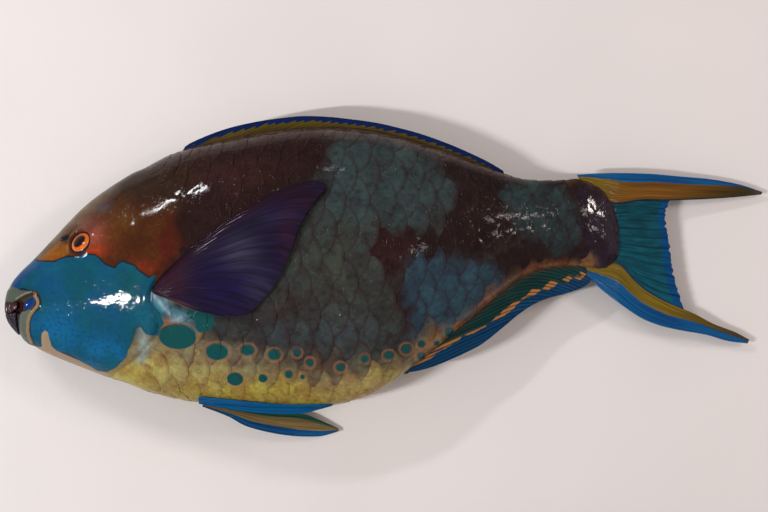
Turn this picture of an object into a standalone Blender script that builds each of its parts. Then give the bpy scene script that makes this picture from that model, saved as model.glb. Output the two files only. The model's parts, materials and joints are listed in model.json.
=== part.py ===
"""A caught parrotfish, a big old male, 480 mm long, lying on its right side with the left flank up.

The snout points along -X, the tail along +X, the back along +Y, the belly along -Y and the left
flank along +Z. The floor is z = 0 and the origin is under the middle of the fish. All lengths in
the tables and constants are millimetres, and the objects themselves are built in metres.

The body is one smooth loft through a few measured sections. It is parted by thin cuts at the gill
openings, the jaws, the gill covers and the root of the tail, and each fin is a thin blade between
its leading and its trailing edge.
"""

import math

import bmesh
import bpy
import numpy as np

MM = 0.001
COLLECTION = "parrotfish"
CUTTERS = "cutters"

# Gap between neighbouring pieces, and how finely the loft is divided
GAP = 0.3
AROUND = 32
HEAD_RINGS = 18
TRUNK_RINGS = 28
STALK_RINGS = 12
# The rings of the head are spread over this many sections, so that they crowd at the round snout
HEAD_SECTIONS = 8.4
# How strongly the rings of the stalk crowd towards its round end
STALK_CROWD = 1.5
# Heights that lie under and over the whole fish, for cutters that go right through it
UNDER_ALL = -5.0
OVER_ALL = 90.0

# Body sections: distance along the fish, back, belly, height of the mid-plane, half the thickness
SECTIONS = (
    (-240.1, -14.0, -21.8, 26.5, 4.0),
    (-239.2, -9.6, -26.2, 26.5, 6.0),
    (-236.8, -2.8, -30.2, 26.6, 8.0),
    (-231.7, 3.8, -35.6, 26.8, 10.2),
    (-222.8, 12.3, -42.6, 27.2, 13.4),
    (-208.8, 26.8, -49.4, 28.0, 18.0),
    (-189.7, 46.2, -56.7, 29.5, 23.8),
    (-169.4, 60.6, -64.1, 30.8, 28.6),
    (-149.2, 71.8, -71.5, 31.6, 32.0),
    (-125.3, 81.7, -77.0, 32.6, 34.6),
    (-99.0, 87.6, -79.5, 33.0, 36.2),
    (-67.7, 93.2, -81.1, 33.2, 37.0),
    (-36.5, 94.7, -80.0, 33.0, 36.2),
    (-5.3, 91.7, -70.0, 32.2, 33.0),
    (26.0, 83.0, -46.8, 30.6, 27.5),
    (54.4, 73.2, -23.5, 28.0, 21.0),
    (81.6, 63.7, -1.6, 24.5, 15.0),
    (102.1, 62.4, 6.3, 21.3, 11.4),
    (121.4, 63.2, 7.0, 18.7, 8.6),
    (134.3, 57.7, 5.0, 17.0, 6.0),
    (141.4, 49.8, 6.8, 16.2, 4.2),
    (146.0, 36.8, 11.4, 15.6, 2.2),
)
# How sharply a section narrows towards the ridge of the back and of the belly (1 is an ellipse)
BACK_TAPER = 1.12
BELLY_TAPER = 1.06
# Widest line of the body: above the middle on the trunk and below it on the cheeks
WIDEST_AT = (-240.0, -200.0, -160.0, -110.0, 0.0, 100.0, 146.0)
WIDEST_LIFT = (0.0, -3.0, -2.0, 4.0, 6.0, 0.0, 0.0)

# Rear edge of the gill covers, by angle round the body: 90 is the back, 0 the flank, -90 the belly
GILL_ANGLES = (-90.0, -60.0, -40.0, -25.0, -10.0, 0.0, 22.0, 50.0, 90.0)
GILL_EDGE = (-176.0, -168.0, -153.0, -141.0, -145.0, -141.0, -126.0, -129.0, -136.0)
TAIL_CUT = 81.6

# Outlines of the cuts through the head, seen from the left side
UPPER_BEAK = (
    (-246, -13.2), (-236.7, -13.8), (-231.0, -14.6), (-231.4, -18.4), (-235.4, -21.4), (-246, -22.1),
)
LOWER_BEAK = (
    (-246, -22.5), (-235.4, -21.8), (-232.2, -21.2), (-231.6, -34.2), (-233.5, -42.0), (-246, -42.0),
)
LOWER_JAW = (
    (-246, -22.3), (-235.4, -21.6), (-231.2, -19.0), (-225.4, -16.9), (-220.3, -15.3), (-221.6, -21.0),
    (-224.7, -26.0), (-225.4, -32.3), (-221.6, -39.9), (-216.8, -47.0), (-216.8, -60.0), (-246, -60.0),
)
GILL_COVER = (
    (-176, -46), (-183, -25), (-182, -5), (-172, 14), (-150, 24), (-118, 22), (-118, -50), (-160, -52),
)
COVER_DEPTH = 10.0
COVER_MIDDLE = -150.0
COVER_POINTS = 30

# Eyes: centre of the iris on the head, the ball and the way that it faces
EYE_AT = (-190.3, 22.8)
EYE_BALL = 8.2
EYE_SUNK = 5.4
EYE_TURN = (-0.36, 0.40, 0.84)
EYE_GRID = (20, 12)

# Dorsal and anal fins: their free edges, folded back along the body
DORSAL_EDGE = (
    (-124.7, 83.6), (-103.4, 93.0), (-82.8, 98.0), (-58.4, 101.3), (-42.2, 101.4), (-27.2, 100.1),
    (-8.4, 97.6), (5.3, 93.8), (22.8, 88.6), (42.8, 80.9), (59.7, 73.6), (69.7, 68.6),
)
ANAL_EDGE = (
    (9.2, -58.6), (18.6, -57.6), (33.1, -53.1), (56.4, -42.4), (71.5, -31.1), (81.5, -22.9),
    (91.0, -16.6), (100.4, -12.6), (112.5, -9.4), (122.6, -6.2), (128.6, -3.4),
)
FIN_THICK = 1.1
LEAST_FIN = 0.8
FIN_CLEAR = 0.1
MEDIAN_GRID = (34, 3)

# Tail: the two lobes and the web between them
TAIL_ROOT_THICK = 3.4
TAIL_RIM_SHARE = 0.28
LOBE_GRID = (22, 5)
TAIL_DROOP = ((120.0, 17.8), (146.0, 15.4), (185.0, 10.2), (215.0, 6.6), (240.1, 4.0))
UPPER_LOBE_TOP = (
    (120.0, 65.8), (134.0, 66.6), (148.0, 66.9), (167.2, 66.5), (186.4, 65.0), (205.6, 63.4),
    (224.7, 60.2), (240.1, 55.4),
)
UPPER_LOBE_UNDER = (
    (121.4, 64.4), (130.2, 61.9), (137.8, 57.0), (144.4, 52.0), (160.8, 51.5), (178.6, 49.6), (199.2, 50.4),
    (218.3, 51.6), (239.6, 53.7),
)
WEB_TOP = ((144.8, 51.3), (160.8, 50.9), (178.6, 48.9))
WEB_FOOT = ((146.4, 7.0), (155.9, 0.9), (165.5, -7.1), (176.0, -13.4), (187.2, -18.4))
WEB_FRONT = ((144.8, 51.3), (147.0, 39.0), (147.4, 23.7), (147.4, 12.3), (146.4, 7.0))
WEB_REAR = (
    (178.6, 48.9), (176.3, 38.5), (178.2, 26.4), (179.8, 14.8), (181.4, 4.0), (184.0, -7.5), (187.2, -18.4),
)
WEB_THICK = 1.8
WEB_RIM_SHARE = 0.5
WEB_GRID = (8, 13)
LOWER_LOBE_TOP = (
    (130.0, 3.8), (138.0, 4.2), (146.4, 5.8), (155.9, -0.2), (165.5, -8.2), (181.4, -16.8),
    (194.9, -22.4), (208.3, -29.3), (221.8, -34.4), (231.6, -39.4),
)
LOWER_LOBE_UNDER = (
    (130.6, -1.4), (135.4, -7.6), (145.6, -14.9), (160.3, -24.8), (172.5, -29.9), (185.9, -33.1),
    (203.8, -36.3), (217.3, -40.2), (230.6, -41.9),
)

# Paired fins: leading edge and trailing edge, each from the root to the tip
PECTORAL_LEAD = (
    (-142.5, -4.6), (-134.4, 5.2), (-115.2, 22.0), (-96.0, 36.4), (-80.3, 45.5), (-65.3, 53.9),
    (-51.5, 58.7), (-41.9, 59.5), (-37.9, 57.4),
)
PECTORAL_TRAIL = (
    (-140.0, -8.2), (-132.0, -10.4), (-118.8, -16.9), (-102.0, -21.9), (-86.0, -21.2), (-76.1, -12.2),
    (-66.9, -0.5), (-59.6, 15.0), (-53.9, 31.0), (-47.0, 43.7), (-38.4, 54.6),
)
PECTORAL_ROOT_THICK = 2.6
PECTORAL_RIM_SHARE = 0.3
PECTORAL_LIFT = 2.2
PECTORAL_GRID = (18, 9)
PECTORAL_TRAIL_POINTS = 22
# The right pectoral fin is pressed flat in a shallow hollow of the underside
PRESSED_THICK = 0.9
PRESSED_FLOOR = 0.25
HOLLOW_TOP = 1.5
HOLLOW_MARGIN = 0.6

LEFT_PELVIC_INNER = ((-117.2, -73.2), (-91.5, -75.6), (-65.3, -78.0), (-44.0, -77.8), (-34.7, -77.6))
LEFT_PELVIC_OUTER = (
    (-117.6, -77.4), (-99.7, -80.5), (-79.7, -83.0), (-55.3, -83.6), (-42.8, -80.9), (-34.7, -78.6),
)
RIGHT_PELVIC_INNER = (
    (-117.0, -78.6), (-93.6, -83.4), (-73.1, -86.2), (-55.2, -87.0), (-45.0, -90.6), (-32.2, -96.6),
)
RIGHT_PELVIC_OUTER = (
    (-117.6, -81.0), (-101.9, -87.6), (-89.1, -94.6), (-66.7, -100.2), (-45.0, -101.5), (-32.0, -98.4),
)
PELVIC_THICK = 1.4
PELVIC_CLEAR = 2.0
LEFT_PELVIC_HEIGHT = 40.6
PELVIC_RIM_SHARE = 0.6
PELVIC_GRID = (14, 5)
# The right pelvic fin sinks from its root to its tip over this length, faster near the root
RIGHT_PELVIC_HEIGHTS = (21.0, 3.0)
RIGHT_PELVIC_LONG = 86.0
RIGHT_PELVIC_SINK = 0.8

# Colour, roughness of each kind of surface
SKIN_COLOURS = {
    "head": ((0.02, 0.20, 0.27), 0.25),
    "lower_jaw": ((0.22, 0.24, 0.17), 0.25),
    "gill_cover": ((0.03, 0.24, 0.28), 0.25),
    "trunk": ((0.07, 0.10, 0.10), 0.25),
    "tail_stalk": ((0.05, 0.09, 0.11), 0.25),
    "beak": ((0.10, 0.03, 0.04), 0.2),
    "eye": ((0.55, 0.16, 0.03), 0.1),
    "median_fin": ((0.03, 0.17, 0.24), 0.3),
    "tail_lobe": ((0.28, 0.22, 0.06), 0.3),
    "paired_fin": ((0.05, 0.03, 0.10), 0.3),
    "pelvic_fin": ((0.02, 0.22, 0.38), 0.3),
}


def spline(points, count):
    """Evenly spaced parameters along a smooth curve that passes through the given points."""
    points = np.asarray(points, float)
    places = np.linspace(0.0, len(points) - 1.0, count)
    return spline_at(points, places)


def spline_at(points, places):
    """Catmull-Rom curve through the points, read at places counted in points from the first."""
    padded = np.vstack([2 * points[0] - points[1], points, 2 * points[-1] - points[-2]])
    index = np.clip(np.floor(places).astype(int), 0, len(points) - 2)
    t = (places - index)[:, None]
    a, b, c, d = (padded[index + k] for k in range(4))
    return 0.5 * (
        2 * b + (c - a) * t + (2 * a - 5 * b + 4 * c - d) * t**2 + (3 * b - 3 * c + d - a) * t**3
    )


SECTION_TABLE = spline(SECTIONS, 40 * (len(SECTIONS) - 1) + 1)


def section_at(x):
    """Back, belly, mid-plane height and half thickness of the body at the given places along it."""
    return [np.interp(x, SECTION_TABLE[:, 0], SECTION_TABLE[:, k]) for k in range(1, 5)]


def body_surface(x, angle):
    """Point of the body at a distance along the fish and an angle round it (0 left flank, 90 back)."""
    x = np.asarray(x, float)
    angle = np.asarray(angle, float)
    back, belly, middle, half_thick = section_at(x)
    sine = np.sin(np.radians(angle))
    cosine = np.cos(np.radians(angle))
    taper = np.where(sine > 0, BACK_TAPER, BELLY_TAPER)
    side = np.sign(cosine) * np.abs(cosine) ** taper
    lift = np.interp(x, WIDEST_AT, WIDEST_LIFT) * cosine**2
    y = (back + belly) / 2 + (back - belly) / 2 * sine + lift
    z = np.maximum(middle + half_thick * side, 0.0)
    return np.stack(np.broadcast_arrays(x, y, z), axis=-1)


def flank_height(x, y):
    """Height of the upper flank over a point of the floor plan, or of the mid-plane outside it."""
    angles = np.linspace(-90.0, 90.0, 181)
    heights = []
    for px, py in zip(np.ravel(x), np.ravel(y)):
        ring = body_surface(np.full(angles.shape, px), angles)
        heights.append(np.interp(py, ring[:, 1], ring[:, 2]))
    return np.reshape(heights, np.shape(x))


def gill_edge(angle):
    """Place along the fish of the gill opening, the same on both sides."""
    folded = np.degrees(np.arcsin(np.sin(np.radians(angle))))
    return np.interp(folded, GILL_ANGLES, GILL_EDGE)


def clear_scene():
    """Empties the scene of the objects that it starts with."""
    for obj in list(bpy.data.objects):
        bpy.data.objects.remove(obj, do_unlink=True)


def collection_named(name):
    """A new collection in the scene."""
    made = bpy.data.collections.new(name)
    bpy.context.scene.collection.children.link(made)
    return made


def material_of(kind):
    """The material of one kind of surface, made once."""
    found = bpy.data.materials.get(kind)
    if found:
        return found
    colour, roughness = SKIN_COLOURS[kind]
    made = bpy.data.materials.new(kind)
    made.use_nodes = True
    shader = made.node_tree.nodes["Principled BSDF"]
    shader.inputs["Base Color"].default_value = (*colour, 1.0)
    shader.inputs["Roughness"].default_value = roughness
    shader.inputs["Metallic"].default_value = 0.0
    return made


def object_from(name, points, faces, collection):
    """An object whose mesh has these points, in millimetres, and faces that point outwards."""
    mesh = bpy.data.meshes.new(name)
    mesh.from_pydata([tuple(np.asarray(p) * MM) for p in points], [], faces)
    shape = bmesh.new()
    shape.from_mesh(mesh)
    bmesh.ops.recalc_face_normals(shape, faces=shape.faces)
    shape.to_mesh(mesh)
    shape.free()
    made = bpy.data.objects.new(name, mesh)
    collection.objects.link(made)
    return made


def finish_node(obj, kind, sharp_degrees=40):
    """Gives a finished node its material and shading."""
    obj.data.materials.append(material_of(kind))
    obj.data.shade_smooth()
    obj.data.set_sharp_from_angle(angle=math.radians(sharp_degrees))
    return obj


def loft(name, rings, collection):
    """A closed solid through rings of equal count, each end closed by a fan round its middle."""
    rings = [np.asarray(ring) for ring in rings]
    count = len(rings[0])
    points = [point for ring in rings for point in ring]
    faces = []
    for row in range(len(rings) - 1):
        for k in range(count):
            after = (k + 1) % count
            faces.append(
                (row * count + k, row * count + after, (row + 1) * count + after, (row + 1) * count + k)
            )
    for ring, start in ((rings[0], 0), (rings[-1], (len(rings) - 1) * count)):
        middle = len(points)
        points.append(ring.mean(axis=0))
        faces += [(start + k, start + (k + 1) % count, middle) for k in range(count)]
    return object_from(name, points, faces, collection)


def body_length(name, fronts, rears, shares, collection):
    """A length of the body between two edges, each given by its place at every angle round it."""
    angles = np.arange(AROUND) * 360.0 / AROUND
    rings = [body_surface(fronts + (rears - fronts) * share, angles) for share in shares]
    return loft(name, rings, collection)


def head_shares():
    """Where the rings of the head lie, close together at the round tip of the snout."""
    places = spline_at(np.asarray(SECTIONS, float), np.linspace(0, HEAD_SECTIONS, HEAD_RINGS))[:, 0]
    return (places - places[0]) / (places[-1] - places[0])


def rounded(outline, count):
    """A closed smooth curve through the corners of an outline."""
    corners = np.asarray(outline, float)
    ring = np.vstack([corners[-2:], corners, corners[:3]])
    places = 2 + np.linspace(0.0, len(corners), count, endpoint=False)
    return spline_at(ring, places)


def outline_prism(name, outline, low, high, collection):
    """A flat outline, as a filled curve extruded from one height to another, made a mesh."""
    curve = bpy.data.curves.new(name, "CURVE")
    curve.dimensions = "2D"
    curve.fill_mode = "BOTH"
    curve.extrude = (high - low) / 2 * MM
    run = curve.splines.new("POLY")
    run.points.add(len(outline) - 1)
    for place, (x, y) in zip(run.points, outline):
        place.co = (x * MM, y * MM, 0.0, 1.0)
    run.use_cyclic_u = True
    guide = bpy.data.objects.new(name, curve)
    guide.location.z = (low + high) / 2 * MM
    bpy.context.scene.collection.objects.link(guide)
    bpy.context.view_layer.update()
    graph = bpy.context.evaluated_depsgraph_get()
    mesh = bpy.data.meshes.new_from_object(guide.evaluated_get(graph))
    shape = bmesh.new()
    shape.from_mesh(mesh)
    bmesh.ops.remove_doubles(shape, verts=shape.verts, dist=1e-6)
    shape.transform(guide.matrix_world)
    bmesh.ops.recalc_face_normals(shape, faces=shape.faces)
    shape.to_mesh(mesh)
    shape.free()
    bpy.data.objects.remove(guide, do_unlink=True)
    made = bpy.data.objects.new(name, mesh)
    collection.objects.link(made)
    return made


def grown(outline, margin):
    """The outline moved outwards by a margin, corner by corner."""
    corners = np.asarray(outline, float)
    before = corners - np.roll(corners, 1, axis=0)
    after = np.roll(corners, -1, axis=0) - corners
    area = np.sum(corners[:, 0] * np.roll(corners[:, 1], -1) - np.roll(corners[:, 0], -1) * corners[:, 1])
    turn = np.sign(area)
    sides = []
    for step in (before, after):
        normal = np.stack([step[:, 1], -step[:, 0]], axis=1) * turn
        sides.append(normal / np.linalg.norm(normal, axis=1, keepdims=True))
    middle = sides[0] + sides[1]
    reach = margin / np.maximum(1 + np.sum(sides[0] * sides[1], axis=1), 0.5)
    return corners + middle * reach[:, None]


def as_cutter(obj):
    """Marks an object as a tool that cuts others and isn't part of the fish."""
    obj.hide_render = True
    obj.display_type = "WIRE"
    return obj


def carve(obj, cutter, operation):
    """Cuts one object by another, or keeps what they share."""
    modifier = obj.modifiers.new(f"{operation.lower()}_{cutter.name}", "BOOLEAN")
    modifier.operation = operation
    modifier.solver = "EXACT"
    modifier.object = cutter


def blade(name, inner, outer, heights, thick, rim_share, rows, columns, collection, ends=None):
    """A fin between two edges that run from its root to its tip.

    heights gives the height of the sheet over each point of its plan. The sheet is thickest at the
    root and has rim_share of that at its tip. ends holds the edges along the root and along the
    tip, where those aren't straight.
    """
    inner = spline(inner, rows)
    outer = spline(outer, rows)
    across = np.linspace(0.0, 1.0, columns)[None, :, None]
    plan = inner[:, None, :] * (1 - across) + outer[:, None, :] * across
    if ends:
        along = np.linspace(0.0, 1.0, rows)[:, None, None]
        root, tip = (spline(edge, columns)[None, :, :] for edge in ends)
        straight_root = inner[0] * (1 - across) + outer[0] * across
        straight_tip = inner[-1] * (1 - across) + outer[-1] * across
        plan = plan + (root - straight_root) * (1 - along) + (tip - straight_tip) * along
    level = heights(plan[..., 0], plan[..., 1])
    points = np.dstack([plan, level]).reshape(-1, 3)
    faces = [
        (r * columns + c, r * columns + c + 1, (r + 1) * columns + c + 1, (r + 1) * columns + c)
        for r in range(rows - 1)
        for c in range(columns - 1)
    ]
    made = object_from(name, points, faces, collection)
    group = made.vertex_groups.new(name="thickness")
    for index in range(rows * columns):
        group.add([index], 1 - (index // columns) / (rows - 1), "REPLACE")
    solid = made.modifiers.new("thickness", "SOLIDIFY")
    solid.thickness = thick * MM
    solid.offset = 0.0
    solid.vertex_group = "thickness"
    solid.thickness_vertex_group = rim_share
    return made


def make_body(parts):
    """Head, trunk and tail stalk, parted by thin cuts."""
    angles = np.arange(AROUND) * 360.0 / AROUND
    snout = np.full(AROUND, SECTIONS[0][0])
    gills = gill_edge(angles)
    cut = np.full(AROUND, TAIL_CUT)
    end = np.full(AROUND, SECTIONS[-1][0])
    head = body_length("head", snout, gills, head_shares(), parts)
    trunk = body_length("trunk", gills + GAP, cut, np.linspace(0, 1, TRUNK_RINGS), parts)
    shares = 1 - (1 - np.linspace(0, 1, STALK_RINGS)) ** STALK_CROWD
    stalk = body_length("tail_stalk", cut + GAP, end, shares, parts)
    finish_node(head, "head")
    finish_node(trunk, "trunk")
    finish_node(stalk, "tail_stalk")
    return head, trunk


def share_of(whole, name, outline, low, high, parts, cutters, kind):
    """A piece of the head inside an outline, and the same outline cut out of the rest."""
    piece = whole.copy()
    piece.data = whole.data.copy()
    piece.name = name
    piece.data.materials.clear()
    parts.objects.link(piece)
    keep = as_cutter(outline_prism(f"{name}_keep", outline, low, high, cutters))
    carve(piece, keep, "INTERSECT")
    finish_node(piece, kind)
    return piece, as_cutter(
        outline_prism(f"{name}_room", grown(outline, GAP), low - GAP, high + GAP, cutters)
    )


def make_head_pieces(head, parts, cutters):
    """Beak plates, lower jaw, gill covers and eyes, each in its own room in the head."""
    cover = rounded(GILL_COVER, COVER_POINTS)
    middle = section_at(np.array([COVER_MIDDLE]))[2][0]
    rooms = {}
    made = {}
    for name, outline, low, high, kind in (
        ("beak_upper", UPPER_BEAK, UNDER_ALL, OVER_ALL, "beak"),
        ("beak_lower", LOWER_BEAK, UNDER_ALL, OVER_ALL, "beak"),
        ("lower_jaw", LOWER_JAW, UNDER_ALL, OVER_ALL, "lower_jaw"),
        ("gill_cover_left", cover, middle + COVER_DEPTH, OVER_ALL, "gill_cover"),
        ("gill_cover_right", cover, UNDER_ALL, middle - COVER_DEPTH, "gill_cover"),
    ):
        made[name], rooms[name] = share_of(head, name, outline, low, high, parts, cutters, kind)
    for room in rooms.values():
        carve(head, room, "DIFFERENCE")
    for name in ("beak_upper", "beak_lower"):
        carve(made["lower_jaw"], rooms[name], "DIFFERENCE")


def make_eyes(head, parts, cutters):
    """An eyeball on each side, sunk in a socket and turned towards the forehead."""
    x, y = EYE_AT
    surface = float(flank_height(np.array([x]), np.array([y]))[0])
    middle = float(section_at(np.array([x]))[2][0])
    turn = np.array(EYE_TURN) / np.linalg.norm(EYE_TURN)
    centre = np.array([x, y, surface]) - turn * EYE_SUNK
    for side, name in ((1, "eye_left"), (-1, "eye_right")):
        place = np.array([centre[0], centre[1], middle + side * (centre[2] - middle)])
        for label, radius, home in (
            (name, EYE_BALL, parts),
            (f"{name}_socket", EYE_BALL + GAP, cutters),
        ):
            mesh = bpy.data.meshes.new(label)
            shape = bmesh.new()
            around, along = EYE_GRID
            bmesh.ops.create_uvsphere(
                shape, u_segments=around, v_segments=along, radius=radius * MM
            )
            shape.to_mesh(mesh)
            shape.free()
            ball = bpy.data.objects.new(label, mesh)
            ball.location = tuple(place * MM)
            home.objects.link(ball)
            if home is cutters:
                carve(head, as_cutter(ball), "DIFFERENCE")
            else:
                finish_node(ball, "eye")


def ridge_edge(xs, row, offset):
    """The line of the back or of the belly, moved off the body by an offset."""
    return np.stack([xs, section_at(xs)[row] + offset], axis=1)


def make_median_fins(parts):
    """Dorsal and anal fins, thin blades that stand on the ridges of the back and the belly."""
    for name, edge, row, away, kind in (
        ("dorsal_fin", DORSAL_EDGE, 0, 1, "median_fin"),
        ("anal_fin", ANAL_EDGE, 1, -1, "median_fin"),
    ):
        outer = spline(edge, MEDIAN_GRID[0])
        root = ridge_edge(outer[:, 0], row, away * (GAP + FIN_CLEAR))
        height = np.maximum((outer[:, 1] - root[:, 1]) * away, LEAST_FIN)
        outer[:, 1] = root[:, 1] + away * height
        made = blade(
            name, root, outer, lambda x, y: section_at(x)[2], FIN_THICK, 1.0, *MEDIAN_GRID, parts
        )
        finish_node(made, kind)


def tail_height(x, y):
    """Height of the tail fin's sheet, which droops towards its tips."""
    return np.interp(x, *zip(*TAIL_DROOP))


def make_tail(parts):
    """Two long lobes and the web between them."""
    upper = blade(
        "caudal_fin_upper_lobe", UPPER_LOBE_UNDER, UPPER_LOBE_TOP, tail_height, TAIL_ROOT_THICK,
        TAIL_RIM_SHARE, *LOBE_GRID, parts,
    )
    lower = blade(
        "caudal_fin_lower_lobe", LOWER_LOBE_TOP, LOWER_LOBE_UNDER, tail_height, TAIL_ROOT_THICK,
        TAIL_RIM_SHARE, *LOBE_GRID, parts,
    )
    web = blade(
        "caudal_fin_web", WEB_TOP, WEB_FOOT, tail_height, WEB_THICK, WEB_RIM_SHARE, *WEB_GRID,
        parts, ends=(WEB_FRONT, WEB_REAR),
    )
    for made, kind in ((upper, "tail_lobe"), (lower, "tail_lobe"), (web, "median_fin")):
        finish_node(made, kind)


def over_flank(x, y):
    """Height of the left pectoral fin, close over the flank at its root and lifting to its tip."""
    along = np.clip((x - PECTORAL_LEAD[0][0]) / (PECTORAL_LEAD[-1][0] - PECTORAL_LEAD[0][0]), 0, 1)
    return flank_height(x, y) + PECTORAL_ROOT_THICK / 2 + GAP + PECTORAL_LIFT * along


def make_pectoral_fins(trunk, parts, cutters):
    """The left fin swept up over the flank, and the right one pressed flat under the body."""
    left = blade(
        "pectoral_fin_left", PECTORAL_LEAD, PECTORAL_TRAIL, over_flank, PECTORAL_ROOT_THICK,
        PECTORAL_RIM_SHARE, *PECTORAL_GRID, parts,
    )
    finish_node(left, "paired_fin")
    lead = spline(PECTORAL_LEAD, PECTORAL_GRID[0])
    outline = np.vstack([lead, spline(PECTORAL_TRAIL, PECTORAL_TRAIL_POINTS)[::-1]])
    top = PRESSED_FLOOR + PRESSED_THICK
    right = outline_prism("pectoral_fin_right", outline, PRESSED_FLOOR, top, parts)
    finish_node(right, "paired_fin")
    hollow = outline_prism(
        "pectoral_fin_right_hollow", grown(outline, HOLLOW_MARGIN), UNDER_ALL, HOLLOW_TOP, cutters
    )
    carve(trunk, as_cutter(hollow), "DIFFERENCE")


def make_pelvic_fins(parts):
    """The left pelvic fin folded along the belly, and the right one splayed down to the floor."""

    def beside_belly(x, y):
        return np.maximum(flank_height(x, y) + PELVIC_CLEAR, LEFT_PELVIC_HEIGHT)

    def down_to_floor(x, y):
        high, low = RIGHT_PELVIC_HEIGHTS
        along = np.clip((x - RIGHT_PELVIC_INNER[0][0]) / RIGHT_PELVIC_LONG, 0, 1)
        return high + (low - high) * along**RIGHT_PELVIC_SINK

    left = blade(
        "pelvic_fin_left", LEFT_PELVIC_INNER, LEFT_PELVIC_OUTER, beside_belly, PELVIC_THICK,
        PELVIC_RIM_SHARE, *PELVIC_GRID, parts,
    )
    right = blade(
        "pelvic_fin_right", RIGHT_PELVIC_INNER, RIGHT_PELVIC_OUTER, down_to_floor, PELVIC_THICK,
        PELVIC_RIM_SHARE, *PELVIC_GRID, parts,
    )
    finish_node(left, "pelvic_fin")
    finish_node(right, "pelvic_fin")


def main():
    """Builds the whole fish."""
    clear_scene()
    parts = collection_named(COLLECTION)
    cutters = collection_named(CUTTERS)
    head, trunk = make_body(parts)
    make_head_pieces(head, parts, cutters)
    make_eyes(head, parts, cutters)
    make_median_fins(parts)
    make_tail(parts)
    make_pectoral_fins(trunk, parts, cutters)
    make_pelvic_fins(parts)


main()
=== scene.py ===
"""The looks of a caught parrotfish, lying on its right side on a pale board, seen from straight above.

One skin covers the flesh. Overlapping scales lie over it, and the eyes, the two beak plates and the
fins are pieces of their own. Skin and scales take their markings from the same functions of the
place on the body. Lengths in the tables are millimetres, as in the solids: the snout points along
-X, the back along +Y, and the left flank faces up.
"""

import json
import logging
import math
from dataclasses import dataclass, field
from enum import Enum

import bpy
import numpy as np
from mathutils import Matrix

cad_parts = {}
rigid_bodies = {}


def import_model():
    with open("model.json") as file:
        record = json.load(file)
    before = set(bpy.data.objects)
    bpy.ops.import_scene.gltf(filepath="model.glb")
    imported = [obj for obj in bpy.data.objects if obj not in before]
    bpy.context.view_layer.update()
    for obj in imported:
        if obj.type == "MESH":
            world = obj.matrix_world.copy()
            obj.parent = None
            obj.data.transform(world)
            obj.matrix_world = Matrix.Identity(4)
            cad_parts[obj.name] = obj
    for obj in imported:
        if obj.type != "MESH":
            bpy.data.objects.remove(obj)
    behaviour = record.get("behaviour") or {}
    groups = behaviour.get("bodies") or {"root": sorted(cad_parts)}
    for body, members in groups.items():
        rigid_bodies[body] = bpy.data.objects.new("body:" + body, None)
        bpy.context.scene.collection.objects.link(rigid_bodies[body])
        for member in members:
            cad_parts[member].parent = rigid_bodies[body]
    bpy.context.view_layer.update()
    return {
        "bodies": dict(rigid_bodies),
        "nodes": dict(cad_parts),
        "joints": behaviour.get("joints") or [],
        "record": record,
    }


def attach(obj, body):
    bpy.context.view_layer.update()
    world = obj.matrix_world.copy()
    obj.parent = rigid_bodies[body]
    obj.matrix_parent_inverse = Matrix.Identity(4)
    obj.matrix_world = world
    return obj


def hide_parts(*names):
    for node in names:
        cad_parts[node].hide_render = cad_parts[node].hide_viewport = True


LOG = logging.getLogger("parrotfish")
MM = 0.001
Array = np.ndarray
Points = tuple[tuple[float, ...], ...]
Hue = tuple[float, float, float]
Piece = bpy.types.Object
Material = bpy.types.Material
Socket = bpy.types.NodeSocket

# A depth far outside every outline, a distance beyond every reach, and how steeply a normal faces the board
OUTSIDE = -9.0
FAR_OFF = 99.0
DOWNWARD = -0.9

# Body sections: distance along the fish, back, belly, height of the mid-plane, half the thickness
SECTIONS = (
    (-240.1, -14, -21.8, 26.5, 4),
    (-239.2, -9.6, -26.2, 26.5, 6),
    (-236.8, -2.8, -30.2, 26.6, 8),
    (-231.7, 3.8, -35.6, 26.8, 10.2),
    (-222.8, 12.3, -42.6, 27.2, 13.4),
    (-208.8, 26.8, -49.4, 28, 18),
    (-189.7, 46.2, -56.7, 29.5, 23.8),
    (-169.4, 60.6, -64.1, 30.8, 28.6),
    (-149.2, 71.8, -71.5, 31.6, 32),
    (-125.3, 81.7, -77, 32.6, 34.6),
    (-99, 87.6, -79.5, 33, 36.2),
    (-67.7, 93.2, -81.1, 33.2, 37),
    (-36.5, 94.7, -80, 33, 36.2),
    (-5.3, 91.7, -70, 32.2, 33),
    (26, 83, -46.8, 30.6, 27.5),
    (54.4, 73.2, -23.5, 28, 21),
    (81.6, 63.7, -1.6, 24.5, 15),
    (102.1, 62.4, 6.3, 21.3, 11.4),
    (121.4, 63.2, 7, 18.7, 8.6),
    (134.3, 57.7, 5, 17, 6),
    (141.4, 49.8, 6.8, 16.2, 4.2),
    (146, 36.8, 11.4, 15.6, 2.2),
)
BACK_TAPER = 1.12
BELLY_TAPER = 1.06
WIDEST_AT = (-240, -200, -160, -110, 0, 100, 146)
WIDEST_LIFT = (0, -3, -2, 4, 6, 0, 0)

# Rear edge of the gill covers and front edge of the scales, by angle round the body from the flank
GILL_EDGE = (
    (-90, -176), (-60, -168), (-40, -153), (-25, -141), (-10, -145), (0, -141),
    (22, -126), (50, -129), (90, -136),
)
COAT_FRONT = (
    (-90, -172), (-60, -163), (-40, -149), (-25, -138), (-10, -141), (0, -138),
    (22, -126), (36, -130), (50, -146), (90, -160),
)

# Eye: centre of the iris on the head, the ball and the way that it faces
EYE_AT = (-189.9, 22.9)
EYE_BALL = 8.2
EYE_DEEP = 5.2
EYE_SUNK = 3.7
EYE_TURN = (-0.44, 0.46, 0.77)

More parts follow.
